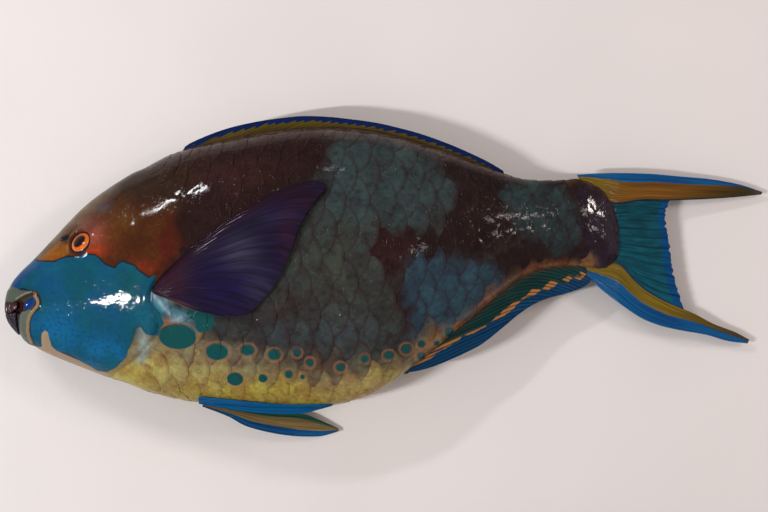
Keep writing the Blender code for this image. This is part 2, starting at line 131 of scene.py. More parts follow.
# Free edges of the fins
DORSAL_EDGE = (
    (-129, 81.2), (-122, 85.6), (-103.4, 93), (-82.8, 98), (-58.4, 101.3), (-42.2, 101.4),
    (-27.2, 100.1), (-8.4, 97.6), (5.3, 94.6), (22.8, 89.8), (42.8, 82.4), (59.7, 74.8), (70.2, 69),
    (73, 67),
)
ANAL_EDGE = (
    (9.2, -58.6), (18.6, -57.6), (33.1, -53.1), (56.4, -42.4), (71.5, -31.1), (81.5, -22.9),
    (91, -16.6), (100.4, -12.6), (112.5, -9.4), (122.6, -5.9), (128.4, -1.6), (130.8, 4.2),
)
ANAL_STRIPE = (
    (9, -57.5), (16.7, -53.8), (40.6, -39.3), (56.4, -31.7), (71.5, -22.3), (85.9, -12.2), (98.5, -5.9),
    (119.9, 1), (130, 4),
)
TAIL_DROOP = ((120, 17.8), (146, 15.4), (185, 10.2), (215, 6.6), (240.1, 4))
UPPER_LOBE_TOP = (
    (120, 65.8), (134, 66.6), (148, 66.9), (167.2, 66.5), (186.4, 65), (205.6, 63.4),
    (224.7, 60.2), (240.1, 55.4),
)
UPPER_LOBE_UNDER = (
    (121.4, 61.5), (129, 57), (135.8, 51.5), (142.4, 47), (160.8, 49.6), (178.6, 49.6), (199.2, 50.4),
    (218.3, 51.6), (239.6, 53.7),
)
WEB_TOP = ((139.5, 52.6), (160.8, 53), (180.2, 51))
WEB_FOOT = ((139, 5), (153.9, -1.9), (163.8, -9.8), (175, -16.2), (189.4, -21.4))
WEB_FRONT = ((139.5, 52.6), (140, 39), (140.4, 23.7), (140.4, 12.3), (139, 5))
WEB_REAR = (
    (180.2, 51), (176.9, 44), (176.3, 36.5), (178.2, 26.4), (179.8, 14.8), (181.4, 4), (184.4, -7.5),
    (189.4, -21.4),
)
LOWER_LOBE_TOP = (
    (124.5, 8.6), (136, 10.2), (146.8, 9.4), (155.9, -0.2), (165.5, -8.2), (181.4, -16.8),
    (194.9, -22.4), (208.3, -29.3), (221.8, -34.4), (231.6, -39.4),
)
LOWER_LOBE_UNDER = (
    (126.6, 1.8), (134.6, -6.4), (145.6, -14.9), (160.3, -24.8), (172.5, -29.9), (185.9, -33.1),
    (203.8, -36.3), (217.3, -40.2), (230.6, -41.9),
)
PECTORAL_LEAD = (
    (-142.5, -4.6), (-134.4, 5.2), (-115.2, 22), (-96, 36.4), (-80.3, 45.5), (-65.3, 53.9),
    (-51.5, 58.7), (-41.9, 59.5), (-37.9, 57.4),
)
PECTORAL_INNER = ((-141, -8.8), (-132, -12.4), (-119.2, -17.8), (-102, -21.9))
PECTORAL_MARGIN = (
    (-37.9, 57.4), (-38.4, 54.6), (-47, 43.7), (-53.9, 31), (-59.6, 15), (-66.9, -0.5), (-76.1, -12.2),
    (-86, -21.2), (-102, -21.9),
)
PECTORAL_ROOT = ((-142.5, -4.6), (-143, -6.9), (-141, -8.8))
LEFT_PELVIC_INNER = ((-117.2, -73.2), (-91.5, -75.6), (-65.3, -78), (-44, -77.8), (-34.7, -77.6))
LEFT_PELVIC_OUTER = (
    (-117.6, -77.4), (-99.7, -80.5), (-79.7, -83), (-55.3, -83.6), (-42.8, -80.9), (-34.7, -78.6),
)
RIGHT_PELVIC_INNER = (
    (-117, -78.6), (-93.6, -83.4), (-73.1, -86.2), (-55.2, -87), (-45, -90.6), (-32.2, -96.6),
)
RIGHT_PELVIC_OUTER = (
    (-117.6, -81), (-101.9, -87.6), (-89.1, -94.6), (-66.7, -100.2), (-45, -101.5), (-32, -98.4),
)

# Outlines on the head, seen from the left side
CHEEK = (
    (-243, -9), (-238, 0), (-232, 7.5), (-225.3, 14.2), (-217.9, 11.1), (-205.7, 11.1),
    (-199, 14.2), (-192.1, 13.6), (-186.8, 15.4), (-179.6, 15.4), (-172.9, 9.3), (-166.5, 6.9),
    (-164.7, 9.9), (-161.2, 11.2), (-153.9, 8.1), (-149.5, 3.9), (-145.2, 1.5), (-139.6, 2.7),
    (-142.1, -0.9), (-143.6, -7.6), (-142.8, -14.6), (-138.6, -20.3), (-136.2, -26.4), (-138.8, -30.1),
    (-139.8, -34.4), (-147.6, -33.3), (-151.2, -28.4), (-154.4, -30.8), (-156.5, -37.7), (-160.9, -47.7),
    (-167.7, -54.2), (-174.5, -57.4), (-180.7, -57.3), (-189.3, -52.9), (-197.7, -47.2), (-206.2, -44.9),
    (-210.6, -43.6), (-218.6, -43.4), (-221.9, -39), (-222.8, -35), (-222.6, -26.8), (-220.4, -22.4),
    (-216.3, -18.6), (-214.9, -14.9), (-216.3, -9.9), (-218.4, -7.5), (-222.5, -7.5), (-226.7, -6.3),
    (-230.9, -6.4), (-236.4, -5.2), (-243, -6),
)
OCHRE = (
    (-219, 11.6), (-212, 10.8), (-205.7, 11.1), (-201, 13.6), (-197, 16), (-197.3, 19.8),
    (-199.7, 22.2), (-204.2, 23.5), (-208.2, 20.4), (-213.5, 16.1),
)
UPPER_LIP = (
    (-241, -16.5), (-240.5, -7), (-235, -4.9), (-231.6, -5.9), (-227.8, -7.6), (-224, -7.6),
    (-221, -7.4), (-220.6, -8.2), (-226.6, -10.4), (-229.8, -12.2), (-233, -14.6), (-236.6, -16),
)
LIP_LIGHT = ((-231.8, -12.6), (-229.4, -11.2), (-226.7, -9.7), (-223.6, -8.5), (-221.2, -7.9))
MOUTH_BROWN = ((-230.6, -14), (-228.4, -12.7), (-225.9, -11.2), (-223.2, -10.1), (-220.7, -9.1))
MOUTH_CORNER = ((-219.7, -8.7), (-218.8, -9.2))
MOUTH_INSIDE = (
    (-233, -14.2), (-229, -13.4), (-227, -15), (-227.6, -19.8), (-229.5, -22), (-233, -22),
)
INNER_LIP = (
    (-226.9, -17.3), (-225.9, -14.9), (-223.4, -12.9), (-220.9, -11.2), (-219.5, -12), (-219.9, -14.6),
    (-220.6, -16.6), (-222.3, -18.3), (-226.2, -19.4),
)
LIP_EDGE = (
    (-219.2, -10.2), (-217.6, -12.2), (-216.8, -14.4), (-217.3, -16.8), (-220.4, -20), (-222.5, -23),
    (-223.7, -26.4), (-224.4, -31.7), (-223.9, -36.5), (-222.8, -39.5),
)
LOWER_LIP = (
    (-228.6, -20.6), (-226, -20.2), (-222.6, -18.9), (-220.6, -19.8), (-222.7, -23), (-224, -26.4),
    (-224.7, -31.7), (-224.2, -36.5), (-223.4, -42.5), (-229.5, -41.5), (-230.4, -37.5), (-230, -30),
    (-229.8, -25.4),
)
CHIN = (
    (-226.5, -41.8), (-219, -43.2), (-216.4, -42.6), (-216.1, -38), (-215.3, -34), (-213, -31.8),
    (-211.2, -33.4), (-210.6, -38), (-209.6, -42.2), (-206.2, -44.9), (-199, -47.9), (-192.5, -50.7),
    (-185.5, -54.3), (-180.8, -57.5), (-173, -58.4), (-176, -62.5), (-191, -60), (-208.8, -52.6),
    (-222, -46.4),
)
CHIN_TOP = CHIN[:9]
BEAK_ROOM = ((-250, -13.6), (-231.4, -15.2), (-231.9, -42.5), (-250, -42.5))
NOSTRIL = ((-202.4, 24.5), (-199.3, 25.8))
NOSTRIL_WIDE = 1.15

# Round markings on the flank: centre, half length, half height
SPOTS = (
    (-128.1, -35, 11.4, 7.4), (-104.3, -44.1, 6.7, 4.9), (-85.7, -43.1, 3.7, 3.1), (-69.7, -45.8, 3.5, 3),
    (-55.6, -44.5, 1.9, 2), (-94, -61.1, 5, 4.2), (-76.8, -60.6, 2.8, 2.6), (-61, -58.1, 2.4, 2.4),
    (-52.6, -59.7, 1.4, 1.5), (-47.9, -50.9, 1.9, 2.1), (-29.4, -53.8, 2.4, 2.2), (-14.7, -48.8, 2, 2),
    (0.1, -46.8, 2.5, 2.2), (11, -43, 2.8, 2.6), (20.3, -40.1, 2.5, 2.2), (20.4, -48, 2.6, 2.4),
    (30, -39.9, 1.6, 1.7), (37.9, -33.1, 2.9, 3),
)
BREAST_PATCH = (
    (-123, -18), (-104.9, -20), (-104, -26.9), (-112.5, -34.3), (-115.4, -31.6), (-120.9, -24.5),
)

# Measures of the coat: how far apart the scales lie along and across the body, by place along it
PITCH = ((-170, 11), (-120, 13.6), (-20, 14.4), (60, 11.6), (110, 9.2), (146, 7))
ROW = ((-170, 13), (-120, 16), (-20, 17), (60, 12), (100, 8.8), (146, 7.4))


def colour(code: str) -> Array:
    """Linear colour of a six-figure hex code."""
    parts = np.array([int(code[k : k + 2], 16) for k in (1, 3, 5)]) / 255.0
    return np.where(parts <= 0.04045, parts / 12.92, ((parts + 0.055) / 1.055) ** 2.4)


def spline_at(points: Points | Array, places: Array) -> Array:
    """Catmull-Rom curve through points.

    Args:
        points: The points that the curve passes through.
        places: Where to read it, counted in points from the first.

    Returns:
        One point of the curve for each place.
    """
    points = np.asarray(points, float)
    padded = np.vstack([2 * points[0] - points[1], points, 2 * points[-1] - points[-2]])
    index = np.clip(np.floor(places).astype(int), 0, len(points) - 2)
    t = (places - index)[:, None]
    a, b, c, d = (padded[index + k] for k in range(4))
    return 0.5 * (
        2 * b + (c - a) * t + (2 * a - 5 * b + 4 * c - d) * t**2 + (3 * b - 3 * c + d - a) * t**3
    )


def spline(points: Points | Array, count: int) -> Array:
    """A given count of points along the smooth curve through some points."""
    return spline_at(points, np.linspace(0.0, len(points) - 1.0, count))


def ease(value: Array, low: float, high: float) -> Array:
    """Smooth step from 0 at low to 1 at high."""
    t = np.clip((value - low) / (high - low), 0.0, 1.0)
    return t * t * (3 - 2 * t)


def bell(value: Array, width: float) -> Array:
    """A smooth bump of height 1 at zero."""
    return np.exp(-((value / width) ** 2))


def line_distance(plan: Array, line: Points) -> Array:
    """How far points lie from an open line.

    Args:
        plan: Points, one in each row.
        line: Corners of the line.

    Returns:
        The distance of each point from the nearest place on the line.
    """
    corners = np.asarray(line, float)
    best = np.full(len(plan), np.inf)
    for a, b in zip(corners[:-1], corners[1:]):
        run = b - a
        t = np.clip(((plan - a) @ run) / (run @ run), 0.0, 1.0)
        best = np.minimum(best, np.hypot(*(plan - a - t[:, None] * run).T))
    return best


def inside(plan: Array, outline: Points) -> Array:
    """How deep each point of the plan lies inside an outline.

    Args:
        plan: Points, one in each row.
        outline: Corners of a closed outline.

    Returns:
        The distance from the outline, negative outside.
    """
    corners = np.asarray(outline, float)
    best = line_distance(plan, np.vstack([corners, corners[:1]]))
    within = np.zeros(len(plan), bool)
    x, y = plan.T
    for (ax, ay), (bx, by) in zip(corners, np.roll(corners, -1, axis=0)):
        crosses = (ay > y) != (by > y)
        reach = (bx - ax) * (y - ay) / np.where(by == ay, 1e-9, by - ay) + ax
        within ^= crosses & (x < reach)
    return np.where(within, best, -best)


def wobble(plan: Array, size: float, turn: float = 0.0) -> Array:
    """A gentle uneven wave over the plan.

    Args:
        plan: Points, one in each row.
        size: How large the waves are.
        turn: A number that sets where they rise and fall.

    Returns:
        The wave at each point, from about -1 to 1.
    """
    x, y = plan.T / size
    waves = (
        np.sin(x * 1.3 + 2.1 * np.sin(y * 0.7 + turn) + turn)
        + np.sin(y * 1.7 + 1.6 * np.sin(x * 0.9 - turn) + 2.0 * turn)
        + 0.6 * np.sin((x + y) * 2.3 + turn * 3.0)
    )
    return waves / 2.6


def tinted(base: Array, hue: str, share: Array) -> Array:
    """Colours with a hue mixed in, by a share at each point."""
    share = share[:, None]
    return base * (1 - share) + colour(hue) * share


def blended(first: str, second: str, share: Array) -> Array:
    """Two hues blended point by point."""
    return tinted(colour(first), second, np.clip(share, 0, 1))


def laid_over(base: Array, plan: Array, tones: tuple) -> Array:
    """Colours with tones laid over them in turn.

    Args:
        base: The colour of each point.
        plan: The place of each point.
        tones: Areas, blushes and streaks.

    Returns:
        The new colour of each point.
    """
    for tone in tones:
        base = tinted(base, tone.hue, tone.weight(plan))
    return base


@dataclass
class Body:
    """The smooth form of head, trunk and tail stalk, by place along it and angle round it."""

    points_a_section: int = 40
    ring_count: int = 387
    turn_count: int = 1441
    step: float = 0.8
    turn_step: float = 1.5
    table: Array = field(init=False)
    places: Array = field(init=False)
    turns: Array = field(init=False)
    runs: Array = field(init=False)
    half_girth: Array = field(init=False)

    def __post_init__(self) -> None:
        """Works out the curve through the sections and the girth at each place."""
        self.table = spline(SECTIONS, self.points_a_section * (len(SECTIONS) - 1) + 1)
        self.places = np.linspace(SECTIONS[0][0], SECTIONS[-1][0], self.ring_count)
        self.turns = np.linspace(-360.0, 360.0, self.turn_count)
        ring = self.surface(self.places[:, None], self.turns[None, :])
        steps = np.linalg.norm(np.diff(ring, axis=1), axis=2)
        run = np.concatenate([np.zeros((len(self.places), 1)), np.cumsum(steps, axis=1)], axis=1)
        flank = self.turn_count // 2
        far_flank = flank + flank // 2
        self.runs = run - run[:, flank : flank + 1]
        self.half_girth = self.runs[:, far_flank]

    def section(self, x: Array) -> list[Array]:
        """Back, belly, mid-plane height and half thickness at places along the body."""
        return [np.interp(x, self.table[:, 0], self.table[:, k]) for k in range(1, 5)]

    def surface(self, x: Array, angle: Array) -> Array:
        """Points of the surface.

        Args:
            x: Distance along the fish.
            angle: Angle round the body in degrees, 0 on the left flank and 90 on the back.

        Returns:
            Points, with the coordinates on the last axis.
        """
        x, angle = np.broadcast_arrays(np.asarray(x, float), np.asarray(angle, float))
        back, belly, middle, half_thick = self.section(x)
        sine = np.sin(np.radians(angle))
        cosine = np.cos(np.radians(angle))
        taper = np.where(sine > 0, BACK_TAPER, BELLY_TAPER)
        side = np.sign(cosine) * np.abs(cosine) ** taper
        lift = np.interp(x, WIDEST_AT, WIDEST_LIFT) * cosine**2
        y = (back + belly) / 2 + (back - belly) / 2 * sine + lift
        z = np.maximum(middle + half_thick * side, 0.0)
        return np.stack([x, y, z], axis=-1)

    def normal(self, x: Array, angle: Array) -> Array:
        """Outward directions of the surface at places and angles."""
        low = np.clip(x - self.step, SECTIONS[0][0], SECTIONS[-1][0])
        high = np.clip(x + self.step, SECTIONS[0][0], SECTIONS[-1][0])
        along = self.surface(high, angle) - self.surface(low, angle)
        around = self.surface(x, angle + self.turn_step) - self.surface(x, angle - self.turn_step)
        out = np.cross(along, around)
        return out / np.maximum(np.linalg.norm(out, axis=-1, keepdims=True), 1e-9)

    def angle_at(self, x: Array, arc: Array) -> Array:
        """The angle that lies an arc's length round the body from the left flank.

        Args:
            x: Distance along the fish.
            arc: Length round the body, positive over the back.

        Returns:
            Angles in degrees.
        """
        place = (x - self.places[0]) / (self.places[1] - self.places[0])
        place = np.clip(place, 0, len(self.places) - 1.001)
        index = place.astype(int)
        share = place - index
        found = np.empty(np.shape(x))
        for row in np.unique(index):
            these = index == row
            low = np.interp(arc[these], self.runs[row], self.turns)
            high = np.interp(arc[these], self.runs[row + 1], self.turns)
            found[these] = low + (high - low) * share[these]
        return found

    def flank_height(self, x: Array, y: Array) -> Array:
        """Height of the upper flank over points of the plan, or of the mid-plane outside it."""
        angles = np.linspace(-90.0, 90.0, 181)
        heights = np.empty(np.size(x))
        for index, (px, py) in enumerate(zip(np.ravel(x), np.ravel(y))):
            ring = self.surface(np.full(angles.shape, px), angles)
            heights[index] = np.interp(py, ring[:, 1], ring[:, 2])
        return heights.reshape(np.shape(x))


BODY = Body()


def folded(angle: Array) -> Array:
    """Angle from the nearer flank, from -90 on the belly to 90 on the back."""
    return np.degrees(np.arcsin(np.clip(np.sin(np.radians(angle)), -1.0, 1.0)))


def edge_at(edge: Points, angle: Array) -> Array:
    """Place along the fish of an edge that is given by angle round the body."""
    smooth = spline(edge, 60)
    return np.interp(folded(angle), smooth[:, 0], smooth[:, 1])


@dataclass(frozen=True)
class Area:
    """A soft-edged area of one colour, by its outline in the plan."""

    hue: str
    outline: Points
    soft: float
    strength: float = 1.0

    def weight(self, plan: Array) -> Array:
        """How much of this colour each point of the plan takes."""
        return ease(inside(plan, self.outline), -self.soft, self.soft) * self.strength


@dataclass(frozen=True)
class Blush:
    """A round flush of colour that fades out, by its centre and its reach each way."""

    hue: str
    centre: tuple[float, float]
    reach: tuple[float, float]
    strength: float = 1.0

    def weight(self, plan: Array) -> Array:
        """How much of this colour each point of the plan takes."""
        away = (plan - np.array(self.centre)) / np.array(self.reach)
        return np.exp(-np.sum(away**2, axis=1)) * self.strength


@dataclass(frozen=True)
class Streak:
    """A soft band of colour along a line."""

    hue: str
    line: Points
    width: float
    strength: float = 1.0

    def weight(self, plan: Array) -> Array:
        """How much of this colour each point of the plan takes."""
        return bell(line_distance(plan, self.line), self.width) * self.strength


FLESH_TONES = (
    Area("#25110e", ((-174, 60), (-150, 26), (-128, 4), (-96, 20), (-66, 42), (-56, 50), (-50, 62),
        (-34, 72), (-30, 84), (-60, 99), (-110, 97), (-150, 80)), 7),
    Area("#221010", ((-2, 40), (30, 26), (38, 60), (26, 84), (-30, 96), (20, 96), (75, 72), (100, 66),
        (128, 66), (144, 50), (150, 20), (142, 3), (108, 8), (88, 4), (75, 0), (64, 8), (36, 17), (10, 12)),
        4),
    Area("#334344", ((-38, 82), (-5, 86), (19, 78), (36, 58), (34, 46), (19, 36), (4, 34), (-8, 36),
        (-30, 26), (-46, 34), (-38, 60)), 4),
    Area("#363d3a", ((-62, 30), (-35, 34), (-11, 30), (0, 22), (4, -6), (6, -36), (-5, -46), (-36, -44),
        (-60, -34), (-78, -20), (-70, 5)), 6),
    Area("#2b1413", ((-12, 32), (-2, 30), (8, 36), (12, 22), (8, 8), (3, -4), (11, -14), (13, -24),
        (18, -37), (9, -39), (5, -24), (-3, -10), (-4, 6), (-10, 14)), 3),
    Blush("#30201f", (-62, -20), (7, 16), 0.5),
    Streak("#321a18", ((-88, -14), (-70, -24), (-58, -36), (-50, -46)), 4, 0.6),
    Blush("#42525a", (-28, -34), (16, 9), 0.6),
    Blush("#434a38", (-34, 6), (9, 16), 0.4),
    Area("#2d4958", ((9, 10), (31, 15), (56, 10), (66, 2), (72, -8), (60, -20), (50, -26), (32, -35),
        (14, -38), (9, -12)), 3.5),
    Area("#293a3b", ((64, 56), (82, 61), (108, 59), (117, 50), (117, 24), (108, 16), (94, 18), (78, 34)),
        4.5),
    Area("#261a2a", ((119, 66), (132, 62), (148, 48), (152, 20), (148, 2), (124, 2), (121, 30)), 4),
    Blush("#3d211c", (-96, 66), (26, 9), 0.6),
    Blush("#3b4a50", (-60, -34), (18, 9), 0.5),
    Area("#807d5a", ((-178, -44), (-150, -36), (-115, -37), (-96, -42), (-72, -47), (-54, -54), (-36, -57),
        (-8, -53), (7, -46), (23, -36), (38, -30), (52, -20), (64, -10), (83, 2), (102, 7), (125, 11),
        (134, 3), (104, -6), (30, -64), (-60, -100), (-182, -80)), 6),
    Area("#aca044", ((-172, -57), (-150, -48), (-118, -52), (-96, -56), (-72, -60), (-54, -63), (-36, -64),
        (-10, -60), (10, -56), (26, -48), (44, -40), (20, -74), (-60, -100), (-182, -80)), 5),
    Blush("#a09a72", (-128, -58), (26, 9), 0.6),
    Blush("#6d6c62", (-104, -46), (16, 7), 0.6),
    Blush("#7d7a4e", (-78, -60), (9, 6), 0.5),
    Blush("#5f5a4c", (-66, -50), (9, 6), 0.6),
    Blush("#66645a", (-30, -54), (10, 6), 0.5),
    Blush("#b3a274", (-20, -66), (26, 7), 0.6),
    Blush("#6b563f", (-46, -52), (11, 7), 0.6),
    Streak("#93592a", ((20, -43), (34, -34), (46, -26), (60, -14.5), (75, -3), (90, 5), (105, 9.5),
        (126, 9)), 2.8, 0.7),
    Streak("#0f3a3a", ((34, -44), (46, -35), (60, -22.8), (75, -10.4), (88, -2.6), (102, 3.2)), 3, 1),
    Area("#452208", ((-260, 60), (-215, 20), (-200, 8), (-140, -6), (-130, 0), (-127, 20), (-130, 45),
        (-150, 82), (-190, 74)), 4),
    Area("#2e1e12", ((-189, 58), (-170, 50), (-150, 47), (-128, 44), (-112, 100), (-160, 90), (-200, 66)),
        8),
    Blush("#56380f", (-170, 36), (13, 9), 0.8),
    Blush("#4e1009", (-133.5, 19), (6, 12), 0.85),
    Streak("#6b5614", ((114, 66), (126, 64), (135, 58.5), (142, 50)), 3, 0.95),
    Blush("#74280a", (-149, 7), (9, 5), 0.8),
    Blush("#63340e", (-176, 22), (12, 14), 0.5),
    Blush("#8c4736", (-181, 26), (8.5, 8.5), 0.9),
    Blush("#6d483e", (-186, 34), (9, 4.5), 0.8),
    Blush("#a63d12", (-180, 17.5), (7.5, 3.2), 0.85),
    Blush("#4d4748", (-177, 45), (7, 5), 0.8),
    # Partly the pale forehead and partly a painted sheen along the rim from snout to nape
    Area("#7d7656", ((-232, 10), (-222, 11), (-209, 22), (-196, 33), (-182, 48), (-170, 57), (-175, 66),
        (-215, 40)), 7, 0.6),
    Area("#7f4d11", OCHRE, 1.1, 0.95),
    Blush("#88480b", (-208, 13), (8, 3), 0.8),
    Area("#2b5f72", ((-147, -6), (-138, -9), (-128, -14), (-113, -19), (-111, -26), (-122, -29), (-135, -27),
        (-144, -24)), 1.6, 0.9),
    Area("#4f8797", ((-143, -7), (-132, -9), (-124, -15), (-120.5, -21), (-122, -25), (-133, -24.5),
        (-138, -20), (-143, -14)), 1.4, 0.85),
    Streak("#93724a", ((-141, -28), (-135, -26), (-127, -25.2), (-119.5, -27.6), (-115.6, -33),
        (-115.6, -39), (-118.5, -45)), 1.9, 0.85),
    Streak("#8f7a4e", ((-147, -34), (-143, -42), (-134, -48)), 2.2, 0.5),
    # Painted highlights: pale streaks for the glints on the wet membrane behind the gill
    Streak("#a9c3ca", ((-141, -10), (-136, -17), (-130, -23), (-126, -28)), 1.1, 0.75),
    Streak("#a9c3ca", ((-137, -10), (-130, -16), (-125, -22)), 0.8, 0.6),
    Streak("#8aa09c", ((-149, -31), (-148.5, -40), (-151.5, -49)), 3.6, 0.8),
)
CHEEK_TONES = (
    Blush("#04356e", (-231, 0), (16, 14), 1),
    Blush("#076292", (-206, -34), (16, 14), 0.9),
    Blush("#0a4c55", (-158, -2), (14, 10), 0.9),
    Blush("#0a699e", (-176, -48), (18, 10), 0.95),
    Blush("#14606e", (-146, -26), (10, 10), 0.8),
    Blush("#03557c", (-200, 8), (12, 4), 0.8),
)
PECTORAL_TONES = (
    Blush("#3a1c2c", (-130, 0), (12, 12), 0.8),
    Blush("#1b1040", (-98, -2), (17, 13), 0.9),
    # Partly the fin's own colour and partly a painted sheen: blue-grey in the middle of the fin
    Blush("#3d3a52", (-89, 17), (11, 11), 0.8),
    Blush("#33304a", (-77, -4), (9, 10), 0.7),
    Blush("#2c2440", (-72, 38), (18, 6), 0.6),
    Blush("#2a2038", (-112, 18), (12, 6), 0.6),
    Blush("#281024", (-50, 48), (12, 8), 0.85),
    Blush("#34162a", (-60, 26), (6, 16), 0.6),
    Streak("#2b0d1c", ((-134, 4), (-112, 23), (-92, 37), (-70, 49), (-52, 57)), 3, 0.7),
)


@dataclass(frozen=True)
class Trim:
    """A small crisp area of the head, with its colour."""

    hue: str
    outline: Points = ()
    line: Points = ()
    width: float = 0.0

    def depth(self, plan: Array) -> Array:
        """How deep each point of the plan lies inside the area."""
        if self.line:
            return self.width - line_distance(plan, self.line)
        return inside(plan, self.outline)


TRIMS = (
    Trim("#4d564b", outline=UPPER_LIP),
    Trim("#596056", outline=LOWER_LIP),
    Trim("#9f866b", outline=CHIN),
    Trim("#2e0506", outline=MOUTH_INSIDE),
    Trim("#04306f", outline=INNER_LIP),
    Trim("#8b7355", line=LIP_EDGE, width=0.95),
    Trim("#3a2a12", line=MOUTH_BROWN, width=0.75),
    Trim("#827b6c", line=LIP_LIGHT, width=0.35),
    Trim("#85492c", line=MOUTH_CORNER, width=1.0),
)


class Markings:
    """The markings of the fish as functions of the place on the body, the same on both flanks."""

    base: str = "#313636"
    cheek_base: str = "#034d6c"
    # A painted sheen along the ridge of the back: its hue and how much of it shows
    ridge_sheen_hue: str = "#625549"
    ridge_sheen_share: float = 0.75
    sway: float = 3.4
    fine_sway: float = 0.6
    mask_sway: float = 0.35
    trims_end: float = -165.0
    trim_reach: float = 1.6

    def flesh(self, plan: Array, angle: Array) -> Array:
        """Soft tones of head and trunk, with a painted sheen along the ridge of the back.

        Args:
            plan: The place of each point.
            angle: The angle of each point round the body.

        Returns:
            The colour of each point.
        """
        x = plan[:, 0]
        drift = np.stack([wobble(plan, 9.0, 0.4), wobble(plan, 11.0, 1.9)], axis=1)
        drift += self.fine_sway * np.stack([wobble(plan, 4.0, 2.4), wobble(plan, 3.4, 0.9)], axis=1)
        swayed = plan + self.sway * drift * ease(x, -150.0, -125.0)[:, None]
        result = laid_over(colour(self.base), swayed, FLESH_TONES)
        # Painted sheen: the back near its ridge is paled where the wet slope would mirror the light
        ridge = ease(folded(angle), 62.0, 80.0) * ease(x, -150.0, -120.0) * (1 - ease(x, 66.0, 84.0))
        share = self.ridge_sheen_share * ridge[:, None]
        pale = colour(self.ridge_sheen_hue) * (1.0 + 0.25 * wobble(plan, 6.0))[:, None]
        return result * (1 - share) + pale * share

    def cheek(self, plan: Array) -> Array:
        """Blue and teal of the mask on the cheek."""
        return laid_over(colour(self.cheek_base), plan, CHEEK_TONES)

    def cheek_depth(self, plan: Array) -> Array:
        """How deep each point lies inside the mask."""
        waver = np.stack([wobble(plan, 2.4, 0.2), wobble(plan, 2.1, 1.1)], axis=1)
        return inside(plan + self.mask_sway * waver, CHEEK)

    def trims(self, plan: Array) -> tuple[Array, Array]:
        """The lips, the mouth and the chin strip.

        Args:
            plan: The place of each point.

        Returns:
            How deep each point lies inside the nearest of them, and its colour.
        """
        near = plan[:, 0] < self.trims_end
        depth = np.full(len(plan), OUTSIDE)
        tones = np.tile(colour(TRIMS[0].hue), (len(plan), 1))
        for trim in TRIMS:
            these = np.full(len(plan), OUTSIDE)
            these[near] = trim.depth(plan[near])
            nearer = (these > depth) & (these > -self.trim_reach) | (these > 0)
            depth = np.maximum(depth, these)
            tones[nearer] = colour(trim.hue)
        return depth, tones


MARKINGS = Markings()


